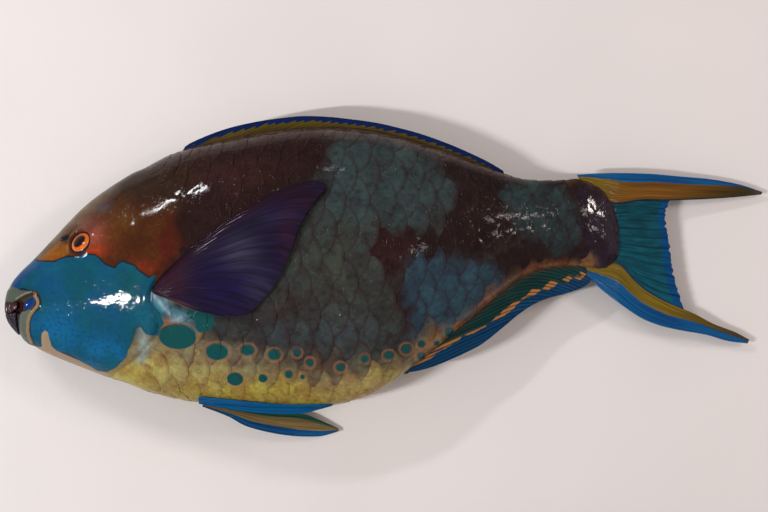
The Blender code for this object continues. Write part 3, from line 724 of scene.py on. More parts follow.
class Shade:
    """The nodes of one material."""

    def __init__(self, name: str) -> None:
        """Makes the material with a bare shader."""
        self.material = bpy.data.materials.new(name)
        self.material.use_nodes = True
        self.tree = self.material.node_tree
        self.shader = self.tree.nodes["Principled BSDF"]

    def add(self, kind: str, **settings: object) -> bpy.types.Node:
        """A new node with some of its settings."""
        node = self.tree.nodes.new(kind)
        for key, value in settings.items():
            setattr(node, key, value)
        return node

    def put(self, socket: Socket, value: object) -> None:
        """Links a socket, or sets its value."""
        if isinstance(value, Socket):
            self.tree.links.new(value, socket)
        elif isinstance(value, (tuple, list, np.ndarray)) and socket.type == "RGBA":
            socket.default_value = (*[float(part) for part in value[:3]], 1.0)
        else:
            socket.default_value = value

    def place(self) -> Socket:
        """The object's own coordinates."""
        return self.add("ShaderNodeTexCoord").outputs["Object"]

    def number(self, attribute: str) -> Socket:
        """A number that the mesh holds."""
        return self.add("ShaderNodeAttribute", attribute_name=attribute).outputs["Fac"]

    def tint(self, attribute: str) -> Socket:
        """A colour that the mesh holds."""
        return self.add("ShaderNodeAttribute", attribute_name=attribute).outputs["Color"]

    def noise(self, scale: float, detail: float = 2.0, stretch: tuple = (1, 1, 1)) -> Socket:
        """Noise over the object's own coordinates.

        Args:
            scale: How many grains there are to the metre.
            detail: How many finer layers the noise has.
            stretch: How much closer the grains lie along each axis.

        Returns:
            The noise, from 0 to 1.
        """
        turned = self.add("ShaderNodeMapping")
        self.put(turned.inputs["Vector"], self.place())
        turned.inputs["Scale"].default_value = stretch
        node = self.add("ShaderNodeTexNoise")
        self.put(node.inputs["Vector"], turned.outputs["Vector"])
        self.put(node.inputs["Scale"], scale)
        self.put(node.inputs["Detail"], detail)
        return node.outputs["Fac"]

    def math(self, kind: str, first: object, second: object = 0.0) -> Socket:
        """One arithmetic step."""
        node = self.add("ShaderNodeMath", operation=kind)
        self.put(node.inputs[0], first)
        self.put(node.inputs[1], second)
        return node.outputs[0]

    def spots(self) -> Socket:
        """How deep a point of the surface lies inside the nearest round spot, in millimetres."""
        place = self.place()
        best = None
        for x, y, half_long, half_high in SPOTS:
            away = self.add("ShaderNodeVectorMath", operation="SUBTRACT")
            self.put(away.inputs[0], place)
            away.inputs[1].default_value = (x * MM, y * MM, 0.0)
            flat = self.add("ShaderNodeVectorMath", operation="MULTIPLY")
            self.put(flat.inputs[0], away.outputs[0])
            flat.inputs[1].default_value = (1 / (half_long * MM), 1 / (half_high * MM), 0.0)
            length = self.add("ShaderNodeVectorMath", operation="LENGTH")
            self.put(length.inputs[0], flat.outputs[0])
            small = min(half_long, half_high)
            depth = self.math("MULTIPLY", self.math("SUBTRACT", 1.0, length.outputs["Value"]), small)
            best = depth if best is None else self.math("MAXIMUM", best, depth)
        return best

    def streaks(self, scale: float, detail: float = 3.0) -> Socket:
        """Noise drawn out along the rays of a fin, with so many streaks to a ray."""
        place = self.add("ShaderNodeCombineXYZ")
        self.put(place.inputs[0], self.math("MULTIPLY", self.number("rays"), scale))
        self.put(place.inputs[1], self.number("along"))
        node = self.add("ShaderNodeTexNoise")
        self.put(node.inputs["Vector"], place.outputs[0])
        node.inputs["Scale"].default_value = 1.0
        self.put(node.inputs["Detail"], detail)
        return node.outputs["Fac"]

    def ramp(
        self, value: object, low: float, high: float, start: float = 0.0, end: float = 1.0
    ) -> Socket:
        """A smooth step.

        Args:
            value: The number that is read.
            low: Where the step begins.
            high: Where it ends.
            start: The result up to low.
            end: The result from high on.

        Returns:
            The result.
        """
        node = self.add("ShaderNodeMapRange", interpolation_type="SMOOTHSTEP")
        self.put(node.inputs["Value"], value)
        self.put(node.inputs["From Min"], low)
        self.put(node.inputs["From Max"], high)
        self.put(node.inputs["To Min"], start)
        self.put(node.inputs["To Max"], end)
        return node.outputs["Result"]

    def mix(self, share: object, under: object, over: object, kind: str = "MIX") -> Socket:
        """Two colours mixed.

        Args:
            share: How much of the upper one shows.
            under: The lower colour.
            over: The upper colour.
            kind: How the upper one is laid on.

        Returns:
            The mixed colour.
        """
        node = self.add("ShaderNodeMix", data_type="RGBA", blend_type=kind)
        self.put(node.inputs[0], share)
        self.put(node.inputs[6], under)
        self.put(node.inputs[7], over)
        return node.outputs[2]

    def relief(self, heights: list[tuple[object, float]]) -> Socket:
        """Fine relief from several heights.

        Args:
            heights: Each height with its depth in millimetres.

        Returns:
            The direction of the surface.
        """
        normal = None
        for height, depth in heights:
            node = self.add("ShaderNodeBump")
            self.put(node.inputs["Height"], height)
            node.inputs["Distance"].default_value = depth * MM
            node.inputs["Strength"].default_value = 1.0
            if normal is not None:
                self.put(node.inputs["Normal"], normal)
            normal = node.outputs["Normal"]
        return normal

    def finish(self, base: object, wet: "Wet", normal: Socket | None) -> Material:
        """Sets the shader.

        Args:
            base: The colour.
            wet: How smooth and how wet the surface is.
            normal: The fine relief, if any.

        Returns:
            The finished material.
        """
        self.put(self.shader.inputs["Base Color"], base)
        self.shader.inputs["Roughness"].default_value = wet.roughness
        self.shader.inputs["Specular IOR Level"].default_value = wet.specular
        self.shader.inputs["Coat Weight"].default_value = wet.coat
        self.shader.inputs["Coat Roughness"].default_value = wet.coat_roughness
        self.shader.inputs["Coat IOR"].default_value = wet.coat_ior
        if normal is not None:
            self.put(self.shader.inputs["Normal"], normal)
            self.put(self.shader.inputs["Coat Normal"], normal)
        return self.material


@dataclass(frozen=True)
class Wet:
    """How smooth a surface is, and the film of slime or water on it."""

    roughness: float = 0.55
    specular: float = 0.02
    coat: float = 0.72
    coat_roughness: float = 0.04
    coat_ior: float = 1.38


@dataclass(frozen=True)
class Cloud:
    """A tint laid where a noise is high, from none at the low value to its share at the high one."""

    low: float
    high: float
    share: float
    tint: Hue
    kind: str = "MIX"

    def over(self, shade: Shade, base: object, noise: object) -> Socket:
        """The colour with this tint laid over it."""
        weight = shade.ramp(noise, self.low, self.high, 0.0, self.share)
        return shade.mix(weight, base, self.tint, self.kind)


# Tints of the flesh and of the mask by patchy, fine, specked and cloudy noise, and of the scales and fins
FLESH_CLOUDS = (
    Cloud(0.36, 0.64, 0.75, (0.72, 0.50, 0.55), "MULTIPLY"),
    Cloud(0.46, 0.70, 0.80, (1.45, 1.30, 1.15), "MULTIPLY"),
    Cloud(0.58, 0.75, 0.50, (1.50, 1.30, 1.10), "MULTIPLY"),
)
CHEEK_CLOUDS = (
    Cloud(0.40, 0.62, 0.65, (0.001, 0.064, 0.070)),
    Cloud(0.45, 0.68, 0.60, (0.001, 0.048, 0.150)),
    Cloud(0.50, 0.70, 0.35, (0.001, 0.110, 0.125)),
    Cloud(0.58, 0.76, 0.35, (0.008, 0.130, 0.190)),
)
SCALE_CLOUD = Cloud(0.50, 0.66, 0.50, (0.48, 0.36, 0.38), "MULTIPLY")
FIN_STREAKS = Cloud(0.35, 0.65, 0.70, (0.45, 0.42, 0.40), "MULTIPLY")
FIN_HAIRS = Cloud(0.50, 0.72, 0.70, (1.70, 1.60, 1.50), "MULTIPLY")
BAND_STREAKS = Cloud(0.40, 0.65, 0.80, (0.55, 0.45, 0.62), "MULTIPLY")


@dataclass(frozen=True)
class FleshFinish:
    """Skin or scales: soft tones, the crisp mask, spots and lips over them, and a wet film."""

    name: str
    wet: Wet
    scaly: bool
    rim_tint: Hue = (0.62, 0.40, 0.42)
    rim_glow: Hue = (0.014, 0.006, 0.007)
    scale_tint: Hue = (0.50, 0.44, 0.46)
    ring: Hue = (0.34, 0.17, 0.075)
    spot: Hue = (0.0025, 0.068, 0.070)
    mask_line: Hue = (0.004, 0.006, 0.016)
    # Colour of the painted shade in the hollows
    hollow_shade: Hue = (0.006, 0.007, 0.012)

    def material(self) -> Material:
        """Builds the material."""
        shade = Shade(self.name)
        patchy = shade.noise(95.0, 3.0)
        fine = shade.noise(420.0, 3.0)
        speck = shade.noise(1500.0, 2.0)
        waver = shade.math("MULTIPLY", shade.math("SUBTRACT", fine, 0.5), 0.8)
        base = shade.tint("flesh")
        for cloud, noise in zip(FLESH_CLOUDS, (patchy, fine, speck)):
            base = cloud.over(shade, base, noise)
        if self.scaly:
            base = self.rimmed(shade, base, fine)
        base = self.spotted(shade, base, patchy, waver)
        cheek = shade.tint("cheek")
        for cloud, noise in zip(CHEEK_CLOUDS, (shade.noise(46.0, 4.0), fine, patchy, speck)):
            cheek = cloud.over(shade, cheek, noise)
        base = self.masked(shade, base, cheek, waver)
        trim = shade.math("ADD", shade.number("trim"), shade.math("MULTIPLY", waver, 0.5))
        base = shade.mix(shade.ramp(trim, -0.2, 0.2), base, shade.tint("trims"))
        # Painted shade: the hollows darkened nearly to black
        base = shade.mix(shade.ramp(shade.number("dark"), 0.0, 1.0), base, self.hollow_shade)
        wrinkles = shade.ramp(shade.noise(260.0, 2.0, (3.2, 0.9, 3.2)), 0.60, 0.72)
        wrinkle_depth = 0.16 if self.scaly else 0.04
        heights = [(patchy, 0.12), (fine, 0.055), (speck, 0.010), (wrinkles, wrinkle_depth)]
        return shade.finish(base, self.wet, shade.relief(heights))

    def rim_strength(self, shade: Shade) -> Socket:
        """How plain the outline of a scale is: less on the pale belly."""
        split = shade.add("ShaderNodeSeparateXYZ")
        shade.put(split.inputs[0], shade.place())
        return shade.ramp(split.outputs["Y"], -0.066, -0.044, 0.4, 1.0)

    def rimmed(self, shade: Shade, base: object, fine: object) -> Socket:
        """Scales with dark, uneven rear edges, each with a tint of its own.

        Args:
            shade: The nodes.
            base: The colour under it.
            fine: The fine noise.

        Returns:
            The new colour.
        """
        rim = shade.ramp(shade.number("rear"), 0.3, 2.6, 0.9, 0.0)
        rim = shade.math("MULTIPLY", rim, shade.ramp(fine, 0.3, 0.6, 0.4, 1.0))
        rim = shade.math("MULTIPLY", rim, self.rim_strength(shade))
        edge = shade.mix(1.0, base, self.rim_tint, "MULTIPLY")
        edge = shade.mix(1.0, edge, self.rim_glow, "ADD")
        base = shade.mix(rim, base, edge)
        base = shade.mix(shade.number("tint"), base, self.scale_tint, "MULTIPLY")
        return SCALE_CLOUD.over(shade, base, shade.noise(240.0, 4.0))

    def spotted(self, shade: Shade, base: object, patchy: object, waver: object) -> Socket:
        """Green spots in broken pale rings.

        Args:
            shade: The nodes.
            base: The colour under it.
            patchy: The noise that breaks the rings.
            waver: How far the outlines stray.

        Returns:
            The new colour.
        """
        halo = shade.math("ADD", shade.spots(), waver)
        spot = shade.math("MAXIMUM", halo, shade.math("ADD", shade.number("breast"), waver))
        ring = shade.math("MULTIPLY", shade.ramp(halo, -2.6, -1.5), shade.ramp(halo, -1.1, -0.2, 1.0, 0.0))
        ring = shade.math("MULTIPLY", ring, shade.ramp(patchy, 0.38, 0.6, 0.12, 0.42))
        base = shade.mix(ring, base, self.ring)
        return shade.mix(shade.ramp(spot, -0.25, 0.25), base, self.spot)

    def masked(self, shade: Shade, base: object, cheek: object, waver: object) -> Socket:
        """The mask on the cheek, with a thin dark line along its edge.

        Args:
            shade: The nodes.
            base: The colour under it.
            cheek: The colour of the mask.
            waver: How far the outline strays.

        Returns:
            The new colour.
        """
        mask = shade.math("ADD", shade.number("mask"), shade.math("MULTIPLY", waver, 0.6))
        base = shade.mix(shade.ramp(mask, -0.2, 0.2), base, cheek)
        line = shade.ramp(shade.math("ABSOLUTE", mask), 0.25, 0.75, 0.85, 0.0)
        line = shade.math("MULTIPLY", line, shade.number("crisp"))
        return shade.mix(line, base, self.mask_line)


@dataclass(frozen=True)
class FinFinish:
    """A fin: its tones, a band beyond a border and a stripe on the border, with lines along the rays."""

    name: str
    band: Hue
    jag: float
    dark_rays: float
    stripe_half: float = 0.0
    steps: float = 1.0
    ray_width: float = -0.75
    stripe: Hue = (0.36, 0.150, 0.040)
    between: Hue = (0.003, 0.006, 0.010)
    wet: Wet = Wet(coat=0.5, coat_roughness=0.06)

    def material(self) -> Material:
        """Builds the material."""
        shade = Shade(self.name)
        rays = shade.number("rays")
        wave = shade.math("SINE", shade.math("MULTIPLY", rays, 2 * math.pi))
        patchy = shade.noise(160.0, 3.0)
        streaks = shade.streaks(2.6)
        hairs = shade.streaks(9.0, 2.0)
        border = self.border(shade, rays, patchy)
        base = FIN_STREAKS.over(shade, shade.tint("fin"), streaks)
        base = FIN_HAIRS.over(shade, base, hairs)
        band = BAND_STREAKS.over(shade, self.band, streaks)
        base = shade.mix(shade.ramp(border, -0.25, 0.25), base, band)
        if self.stripe_half:
            away = shade.math("ABSOLUTE", border)
            there = shade.ramp(away, self.stripe_half, self.stripe_half + 0.35, 1.0, 0.0)
            broken = shade.ramp(shade.streaks(0.5, 1.0), 0.36, 0.42)
            base = shade.mix(shade.math("MULTIPLY", there, broken), base, self.stripe)
        between = shade.ramp(wave, -1.0, self.ray_width, self.dark_rays, 0.0)
        base = shade.mix(between, base, self.between)
        return shade.finish(base, self.wet, shade.relief([(patchy, 0.10), (streaks, 0.06), (hairs, 0.03)]))

    def border(self, shade: Shade, rays: object, patchy: object) -> Socket:
        """Distance beyond the border of the band, jagged by the rays.

        Args:
            shade: The nodes.
            rays: The count of rays passed.
            patchy: The noise that makes the border stray.

        Returns:
            The distance in millimetres, negative before the border.
        """
        steps = shade.math("FRACT", shade.math("MULTIPLY", rays, self.steps))
        steps = shade.math("SUBTRACT", shade.math("MULTIPLY", steps, 2.0), 1.0)
        border = shade.math("ADD", shade.number("border"), shade.math("MULTIPLY", steps, self.jag))
        stray = shade.math("MULTIPLY", shade.math("SUBTRACT", patchy, 0.5), 2.2 * self.jag + 0.6)
        return shade.math("ADD", border, stray)


@dataclass(frozen=True)
class BeakFinish:
    """The fused teeth of a beak plate: dark enamel mottled with worn, paler patches."""

    name: str
    dark: Hue
    worn: Hue
    # Colour of the painted shade in the grooves
    groove: Hue = (0.006, 0.003, 0.004)

    def material(self) -> Material:
        """Builds the material."""
        shade = Shade(self.name)
        mottle = shade.noise(700.0, 3.0)
        grooves = shade.noise(500.0, 2.0, (3.0, 0.5, 3.0))
        base = shade.mix(shade.ramp(mottle, 0.45, 0.7), self.dark, self.worn)
        # Painted shade: darker where the groove relief is low, between the teeth
        base = shade.mix(shade.ramp(grooves, 0.3, 0.5, 0.6, 0.0), base, self.groove)
        wet = Wet(roughness=0.4, specular=0.1, coat=0.7, coat_roughness=0.05)
        return shade.finish(base, wet, shade.relief([(grooves, 0.3), (mottle, 0.08)]))


@dataclass(frozen=True)
class EyeFinish:
    """The eyeball: dark pupil, orange iris with a dark red inner ring, and a blue-black edge."""

    name: str = "eye"
    bright: Hue = (0.78, 0.175, 0.012)
    deep: Hue = (0.50, 0.080, 0.010)
    inner: Hue = (0.20, 0.022, 0.008)
    outer: Hue = (0.75, 0.26, 0.050)
    pupil: Hue = (0.010, 0.002, 0.003)
    edge: Hue = (0.014, 0.012, 0.022)

    def material(self) -> Material:
        """Builds the material, by the angle in degrees from the middle of the pupil."""
        shade = Shade(self.name)
        fibres = shade.noise(1400.0, 3.0)
        shift = shade.math("MULTIPLY", shade.math("SUBTRACT", fibres, 0.5), 2.6)
        away = shade.math("ADD", shade.number("away"), shift)
        pupil = shade.math("ADD", shade.number("pupil"), shift)
        iris = shade.mix(shade.ramp(fibres, 0.35, 0.65), self.bright, self.deep)
        iris = shade.mix(shade.ramp(pupil, 29.5, 34.5, 0.9, 0.0), iris, self.inner)
        iris = shade.mix(shade.ramp(away, 43.0, 48.0, 0.0, 0.5), iris, self.outer)
        base = shade.mix(shade.ramp(pupil, 27.5, 29.5), self.pupil, iris)
        base = shade.mix(shade.ramp(away, 49.5, 51.5), base, self.edge)
        wet = Wet(roughness=0.4, specular=0.05, coat=0.7, coat_roughness=0.02)
        return shade.finish(base, wet, None)


def deselect() -> None:
    """Deselects every object."""
    bpy.ops.object.select_all(action="DESELECT")


def activate(obj: Piece) -> None:
    """Makes an object the only one selected."""
    deselect()
    obj.select_set(True)
    bpy.context.view_layer.objects.active = obj


def apply_all(obj: Piece) -> None:
    """Applies an object's modifiers in order."""
    activate(obj)
    for modifier in list(obj.modifiers):
        bpy.ops.object.modifier_apply(modifier=modifier.name)


def read_points(obj: Piece) -> Array:
    """The vertices of a mesh object."""
    found = np.empty(len(obj.data.vertices) * 3, np.float32)
    obj.data.vertices.foreach_get("co", found)
    return found.reshape(-1, 3).astype(float)


def write_points(obj: Piece, points: Array) -> None:
    """Moves the vertices of a mesh object to points in millimetres."""
    obj.data.vertices.foreach_set("co", (points * MM).astype(np.float32).ravel())
    obj.data.update()


def paint(obj: Piece, name: str, values: Array) -> None:
    """Stores a number or a colour at each vertex, under the name that the finish reads."""
    if values.ndim == 1:
        layer = obj.data.attributes.new(name, "FLOAT", "POINT")
        layer.data.foreach_set("value", values.astype(np.float32))
        return
    layer = obj.data.attributes.new(name, "FLOAT_COLOR", "POINT")
    full = np.concatenate([values, np.ones((len(values), 1))], axis=1)
    layer.data.foreach_set("color", full.astype(np.float32).ravel())


def named(obj: Piece, name: str) -> Piece:
    """Names an object and its mesh."""
    obj.name = name
    obj.data.name = name
    return obj


def smooth(obj: Piece, degrees: float = 50.0) -> None:
    """Shades an object smooth, with sharp edges kept."""
    activate(obj)
    bpy.ops.object.shade_smooth_by_angle(angle=math.radians(degrees))


def face_outwards(obj: Piece) -> None:
    """Turns the faces of a closed mesh outwards."""
    activate(obj)
    bpy.ops.object.mode_set(mode="EDIT")
    bpy.ops.mesh.select_all(action="SELECT")
    bpy.ops.mesh.normals_make_consistent(inside=False)
    bpy.ops.object.mode_set(mode="OBJECT")


def dress(obj: Piece, material: Material, nodes: tuple[str, ...] = ()) -> None:
    """Finishes a piece and hands it to the frame.

    Args:
        obj: The piece.
        material: Its finish.
        nodes: The solids that the piece stands for.
    """
    obj.data.materials.clear()
    obj.data.materials.append(material)
    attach(obj, "root")
    if nodes:
        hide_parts(*nodes)
    LOG.info("%s: %d faces", obj.name, len(obj.data.polygons))


def paint_flesh(obj: Piece, points: Array, angle: Array, tone_plan: Array | None = None) -> None:
    """Stores the markings of the body on a piece of it.

    Args:
        obj: The piece.
        points: The place of each vertex on the body.
        angle: The angle of each vertex round the body.
        tone_plan: Where to read the soft tones, if that isn't the place itself.
    """
    plan = points[:, :2]
    depth, trims = MARKINGS.trims(plan)
    paint(obj, "flesh", MARKINGS.flesh(plan if tone_plan is None else tone_plan, angle))
    paint(obj, "cheek", MARKINGS.cheek(plan))
    paint(obj, "mask", MARKINGS.cheek_depth(plan))
    paint(obj, "breast", inside(plan, BREAST_PATCH))
    paint(obj, "trim", depth)
    paint(obj, "trims", trims)


@dataclass
class Eye:
    """Where an eyeball sits, and the way that it faces."""

    side: int
    segments: int = 64
    rings: int = 48
    pupil_scale: float = 1.12
    pupil_stretch: float = 0.19
    centre: Array = field(init=False)
    turn: Array = field(init=False)

    def __post_init__(self) -> None:
        """Works out the centre from the surface of the head."""
        x, y = EYE_AT
        surface = float(BODY.flank_height(np.array([x]), np.array([y]))[0])
        middle = float(BODY.section(np.array([x]))[2][0])
        turn = np.array(EYE_TURN) / np.linalg.norm(EYE_TURN)
        centre = np.array([x, y, surface]) - turn * EYE_SUNK
        self.centre = np.array([centre[0], centre[1], middle + self.side * (centre[2] - middle)])
        self.turn = turn * np.array([1, 1, self.side])

    def axis_distance(self, points: Array) -> Array:
        """Distance of points from the line that the eye looks along, or far off on the other side."""
        away = points - self.centre
        along = away @ self.turn
        distance = np.linalg.norm(away - along[:, None] * self.turn, axis=1)
        return np.where(along > 0, distance, FAR_OFF)

    def build(self, name: str, node: str) -> Piece:
        """Models an eyeball that stands for a solid, a little flattened along the way that it looks."""
        deselect()
        bpy.ops.mesh.primitive_uv_sphere_add(segments=self.segments, ring_count=self.rings, radius=1.0)
        ball = named(bpy.context.active_object, name)
        unit = read_points(ball)
        unit /= np.linalg.norm(unit, axis=1, keepdims=True)
        facing = np.clip(unit @ self.turn, -1.0, 1.0)
        away = np.degrees(np.arccos(facing))
        flat = unit * EYE_BALL - (facing * (EYE_BALL - EYE_DEEP))[:, None] * self.turn
        write_points(ball, self.centre + flat)
        steep = np.cross(self.turn, (self.turn[0], self.turn[1], 0.0))
        steep /= np.linalg.norm(steep)
        lengthwise = np.abs(unit @ steep) / np.maximum(np.sqrt(1 - facing**2), 1e-6)
        paint(ball, "away", away)
        paint(ball, "pupil", away * (self.pupil_scale - self.pupil_stretch * lengthwise**2))
        face_outwards(ball)
        smooth(ball, 80.0)
        dress(ball, EyeFinish().material(), (node,))
        return ball


EYES = (Eye(1), Eye(-1))


@dataclass(frozen=True)
class Crease:
    """A line on the head that stands out, or lies in where its height is negative."""

    line: Points
    height: float
    width: float

    def lift(self, plan: Array) -> Array:
        """How far the skin moves at points of the plan."""
        return self.height * bell(line_distance(plan, self.line), self.width)


@dataclass(frozen=True)
class Swelling:
    """An area of the head that stands out, or lies in where its height is negative."""

    outline: Points
    height: float
    low: float
    high: float

    def lift(self, plan: Array) -> Array:
        """How far the skin moves at points of the plan."""
        return self.height * ease(inside(plan, self.outline), self.low, self.high)


# The fold behind the jaw, two folds on the cheek and the brow over the eye
FACE_FOLDS = (
    Crease(((-213.5, -22), (-210.5, -31), (-211.5, -40)), -0.22, 1.7),
    Crease(((-157, 33), (-149, 27), (-143, 17)), 0.10, 1.6),
    Crease(((-163, 20), (-158, 13), (-152, 8)), 0.10, 1.6),
    Crease(((-203, 30), (-194, 34.5), (-184, 33.5), (-176, 26)), 0.35, 3.2),
)
MOUTH_FORMS = (
    Swelling(UPPER_LIP, 0.9, -0.8, 2.2),
    Swelling(LOWER_LIP, 0.7, -0.8, 2.0),
    Crease(LIP_EDGE, 0.75, 1.0),
    Crease(LIP_LIGHT, 0.3, 0.6),
    Crease(MOUTH_BROWN, -0.7, 0.8),
    Swelling(INNER_LIP, -0.9, -0.6, 1.2),
    Swelling(MOUTH_INSIDE, -1.8, -0.6, 0.8),
)


@dataclass
class Relief:
    """How far the skin stands out from, or lies below, the smooth form of the body."""

    coat: float = 0.85
    head: float = 0.15
    head_end: float = -115.0
    mouth_end: float = -205.0
    mouth_depth: float = 3.2
    lips_least: float = -2.0
    flap: float = 0.8
    slit: float = 1.2
    chin_step: float = 0.4
    socket_depth: float = 4.8
    socket_edge: tuple[float, float] = (6.4, 7.3)
    lid: tuple[float, float, float] = (0.60, 8.4, 1.1)
    lid_groove: tuple[float, float, float] = (-0.25, 11.0, 1.0)
    nostril_depth: float = 1.2
    nostril_rim: float = 0.35

    def coat_share(self, x: Array, angle: Array) -> Array:
        """1 where scales lie over the skin and 0 on the bare head."""
        return ease(x - edge_at(COAT_FRONT, angle), -2.0, 6.0)

    def height(self, points: Array, angle: Array) -> Array:
        """The relief at points of the surface.

        Args:
            points: The place of each point.
            angle: The angle of each point round the body.

        Returns:
            How far the skin stands out at each point.
        """
        x = points[:, 0]
        height = -self.head - (self.coat - self.head) * self.coat_share(x, angle)
        head = x < self.head_end
        height[head] += self.head_relief(points[head], angle[head])
        return height

    def head_relief(self, points: Array, angle: Array) -> Array:
        """Gill opening, cheek, lips, beak room, eye sockets and nostrils.

        Args:
            points: The place of each point.
            angle: The angle of each point round the body.

        Returns:
            How far the skin stands out at each point.
        """
        plan = points[:, :2]
        x = plan[:, 0]
        lean = folded(angle)
        behind = x - edge_at(GILL_EDGE, angle)
        gill = self.flap * bell(behind + 2.8, 2.6) - self.slit * bell(behind - 0.7, 0.9)
        height = gill * (1 - ease(lean, -6.0, 16.0)) * ease(lean, -92.0, -70.0)
        for fold in FACE_FOLDS:
            height += fold.lift(plan)
        front = x < self.mouth_end
        height[front] += self.mouth_relief(plan[front])
        for eye in EYES:
            away = eye.axis_distance(points)
            height -= self.socket_depth * (1 - ease(away, *self.socket_edge))
            for rise, distance, width in (self.lid, self.lid_groove):
                height += rise * bell(away - distance, width)
        away = line_distance(plan, NOSTRIL)
        height -= self.nostril_depth * (1 - ease(away, NOSTRIL_WIDE * 0.5, NOSTRIL_WIDE * 1.1))
        height += self.nostril_rim * bell(away - NOSTRIL_WIDE - 0.8, 0.6)
        height += 0.07 * wobble(plan, 5.0, 0.9) + 0.025 * wobble(plan, 2.2, 2.2)
        return height

    def mouth_relief(self, plan: Array) -> Array:
        """Lips, the corner of the mouth, the step of the chin strip and the room of the beak."""
        lips = sum(form.lift(plan) for form in MOUTH_FORMS)
        step = self.chin_step * ease(inside(plan, CHIN), -0.4, 0.4)
        lips -= step * bell(line_distance(plan, CHIN_TOP), 0.9)
        return np.maximum(lips, self.lips_least) - self.mouth_depth * ease(inside(plan, BEAK_ROOM), -0.5, 0.6)


RELIEF = Relief()


@dataclass
class Skin:
    """One skin over head, jaws, gill covers, trunk and tail stalk."""

    segments: int = 304
    head_rings: int = 148
    trunk_rings: int = 178
    head_end: float = -130.0
    crowding: float = 1.25
    floor: float = 0.05
    coat_room: float = 0.9
    fin_room: float = 2.3
    nodes: tuple[str, ...] = (
        "head", "lower_jaw", "gill_cover_left", "gill_cover_right", "trunk", "tail_stalk",
    )

    def stations(self) -> Array:
        """Where the rings lie along the fish, close together on the head."""
        first, last = SECTIONS[0][0], SECTIONS[-1][0]
        head = first + (self.head_end - first) * (
            np.linspace(0, 1, self.head_rings + 1) ** self.crowding
        )
        trunk = np.linspace(self.head_end, last, self.trunk_rings + 1)[1:]
        return np.concatenate([head, trunk])

    def build(self) -> Piece:
        """Models the skin from a sphere whose rings are laid along the body."""
        stations = self.stations()
        rings = len(stations) - 1
        deselect()
        bpy.ops.mesh.primitive_uv_sphere_add(segments=self.segments, ring_count=rings, radius=1.0)
        skin = named(bpy.context.active_object, "skin")
        unit = read_points(skin)
        row = np.rint(np.arccos(np.clip(unit[:, 2], -1, 1)) / math.pi * rings).astype(int)
        share = np.arctan2(unit[:, 1], unit[:, 0]) / (2 * math.pi)
        x = stations[row]
        girth = np.interp(x, BODY.places, BODY.half_girth) * 2
        angle = BODY.angle_at(x, share * girth)
        points = BODY.surface(x, angle)
        ends = (row == 0) | (row == rings)
        for end in (0, rings):
            back, belly, middle, _ = BODY.section(stations[end : end + 1])
            points[row == end] = (stations[end], (back[0] + belly[0]) / 2, middle[0])
        normal = BODY.normal(x, angle)
        normal[ends] = np.where(x[ends, None] < 0, (-1.0, 0, 0), (1.0, 0, 0))
        height = RELIEF.height(points, angle)
        height[ends & (x < 0)] = -RELIEF.mouth_depth
        moved = points + normal * height[:, None]
        least = np.where(normal[:, 2] < DOWNWARD, RELIEF.coat * self.coat_room, self.floor)
        moved[:, 2] = np.maximum(moved[:, 2], least)
        moved[:, 2] = np.maximum(moved[:, 2], PRESSED.clear_over(moved, self.fin_room))
        write_points(skin, moved)
        paint_flesh(skin, points, angle)
        paint(skin, "crisp", self.crispness(points, angle))
        # The painted shade of the hollows
        paint(skin, "dark", self.pit_shading(points, angle))
        face_outwards(skin)
        smooth(skin, 75.0)
        dress(skin, FleshFinish("wet skin", Wet(), False).material(), self.nodes)
        return skin

    def crispness(self, points: Array, angle: Array) -> Array:
        """How plain the dark line along the mask is: less below the eye, and none on the gill flap."""
        before = 1 - ease(points[:, 0] - edge_at(GILL_EDGE, angle), -6.0, 0.0)
        return before * (0.35 + 0.65 * ease(points[:, 1], -24.0, -8.0))

    def pit_shading(self, points: Array, angle: Array) -> Array:
        """Painted shade, nearly black, in sockets, nostrils, the gill opening and inside the mouth.

        Args:
            points: The place of each point.
            angle: The angle of each point round the body.

        Returns:
            How dark each point is, from 0 to 1.
        """
        plan = points[:, :2]
        behind = plan[:, 0] - edge_at(GILL_EDGE, angle)
        lean = folded(angle)
        dark = 0.22 * bell(behind - 0.6, 0.8) * (1 - ease(lean, -8.0, 12.0))
        dark = np.maximum(dark, 1 - ease(line_distance(plan, NOSTRIL), NOSTRIL_WIDE, NOSTRIL_WIDE + 0.6))
        for eye in EYES:
            dark = np.maximum(dark, 1 - ease(eye.axis_distance(points), 6.9, 7.5))
        return np.maximum(dark, ease(inside(plan, BEAK_ROOM), -0.3, 0.6))


@dataclass
class Pressed:
    """The right pectoral fin, pressed flat between the body and the board."""

    floor: float = 0.25
    thick: float = 0.9
    margin: float = 2.0
    underside: float = 12.0
    middle: float = -90.0
    reach: float = 70.0
    outline: Array = field(init=False)

    def __post_init__(self) -> None:
        """Joins the edges of the fin to one outline."""
        lead = spline(PECTORAL_LEAD, 18)
        margin = spline(PECTORAL_MARGIN, 22)
        self.outline = np.vstack([lead, margin[1:], PECTORAL_INNER[::-1]])

    def clear_over(self, points: Array, level: float) -> Array:
        """The least height that leaves the fin its room, at points on the underside."""
        under = (points[:, 2] < self.underside) & (np.abs(points[:, 0] - self.middle) < self.reach)
        least = np.zeros(len(points))
        least[under] = level * ease(inside(points[under, :2], self.outline), -self.margin, 0.0)
        return least


PRESSED = Pressed()


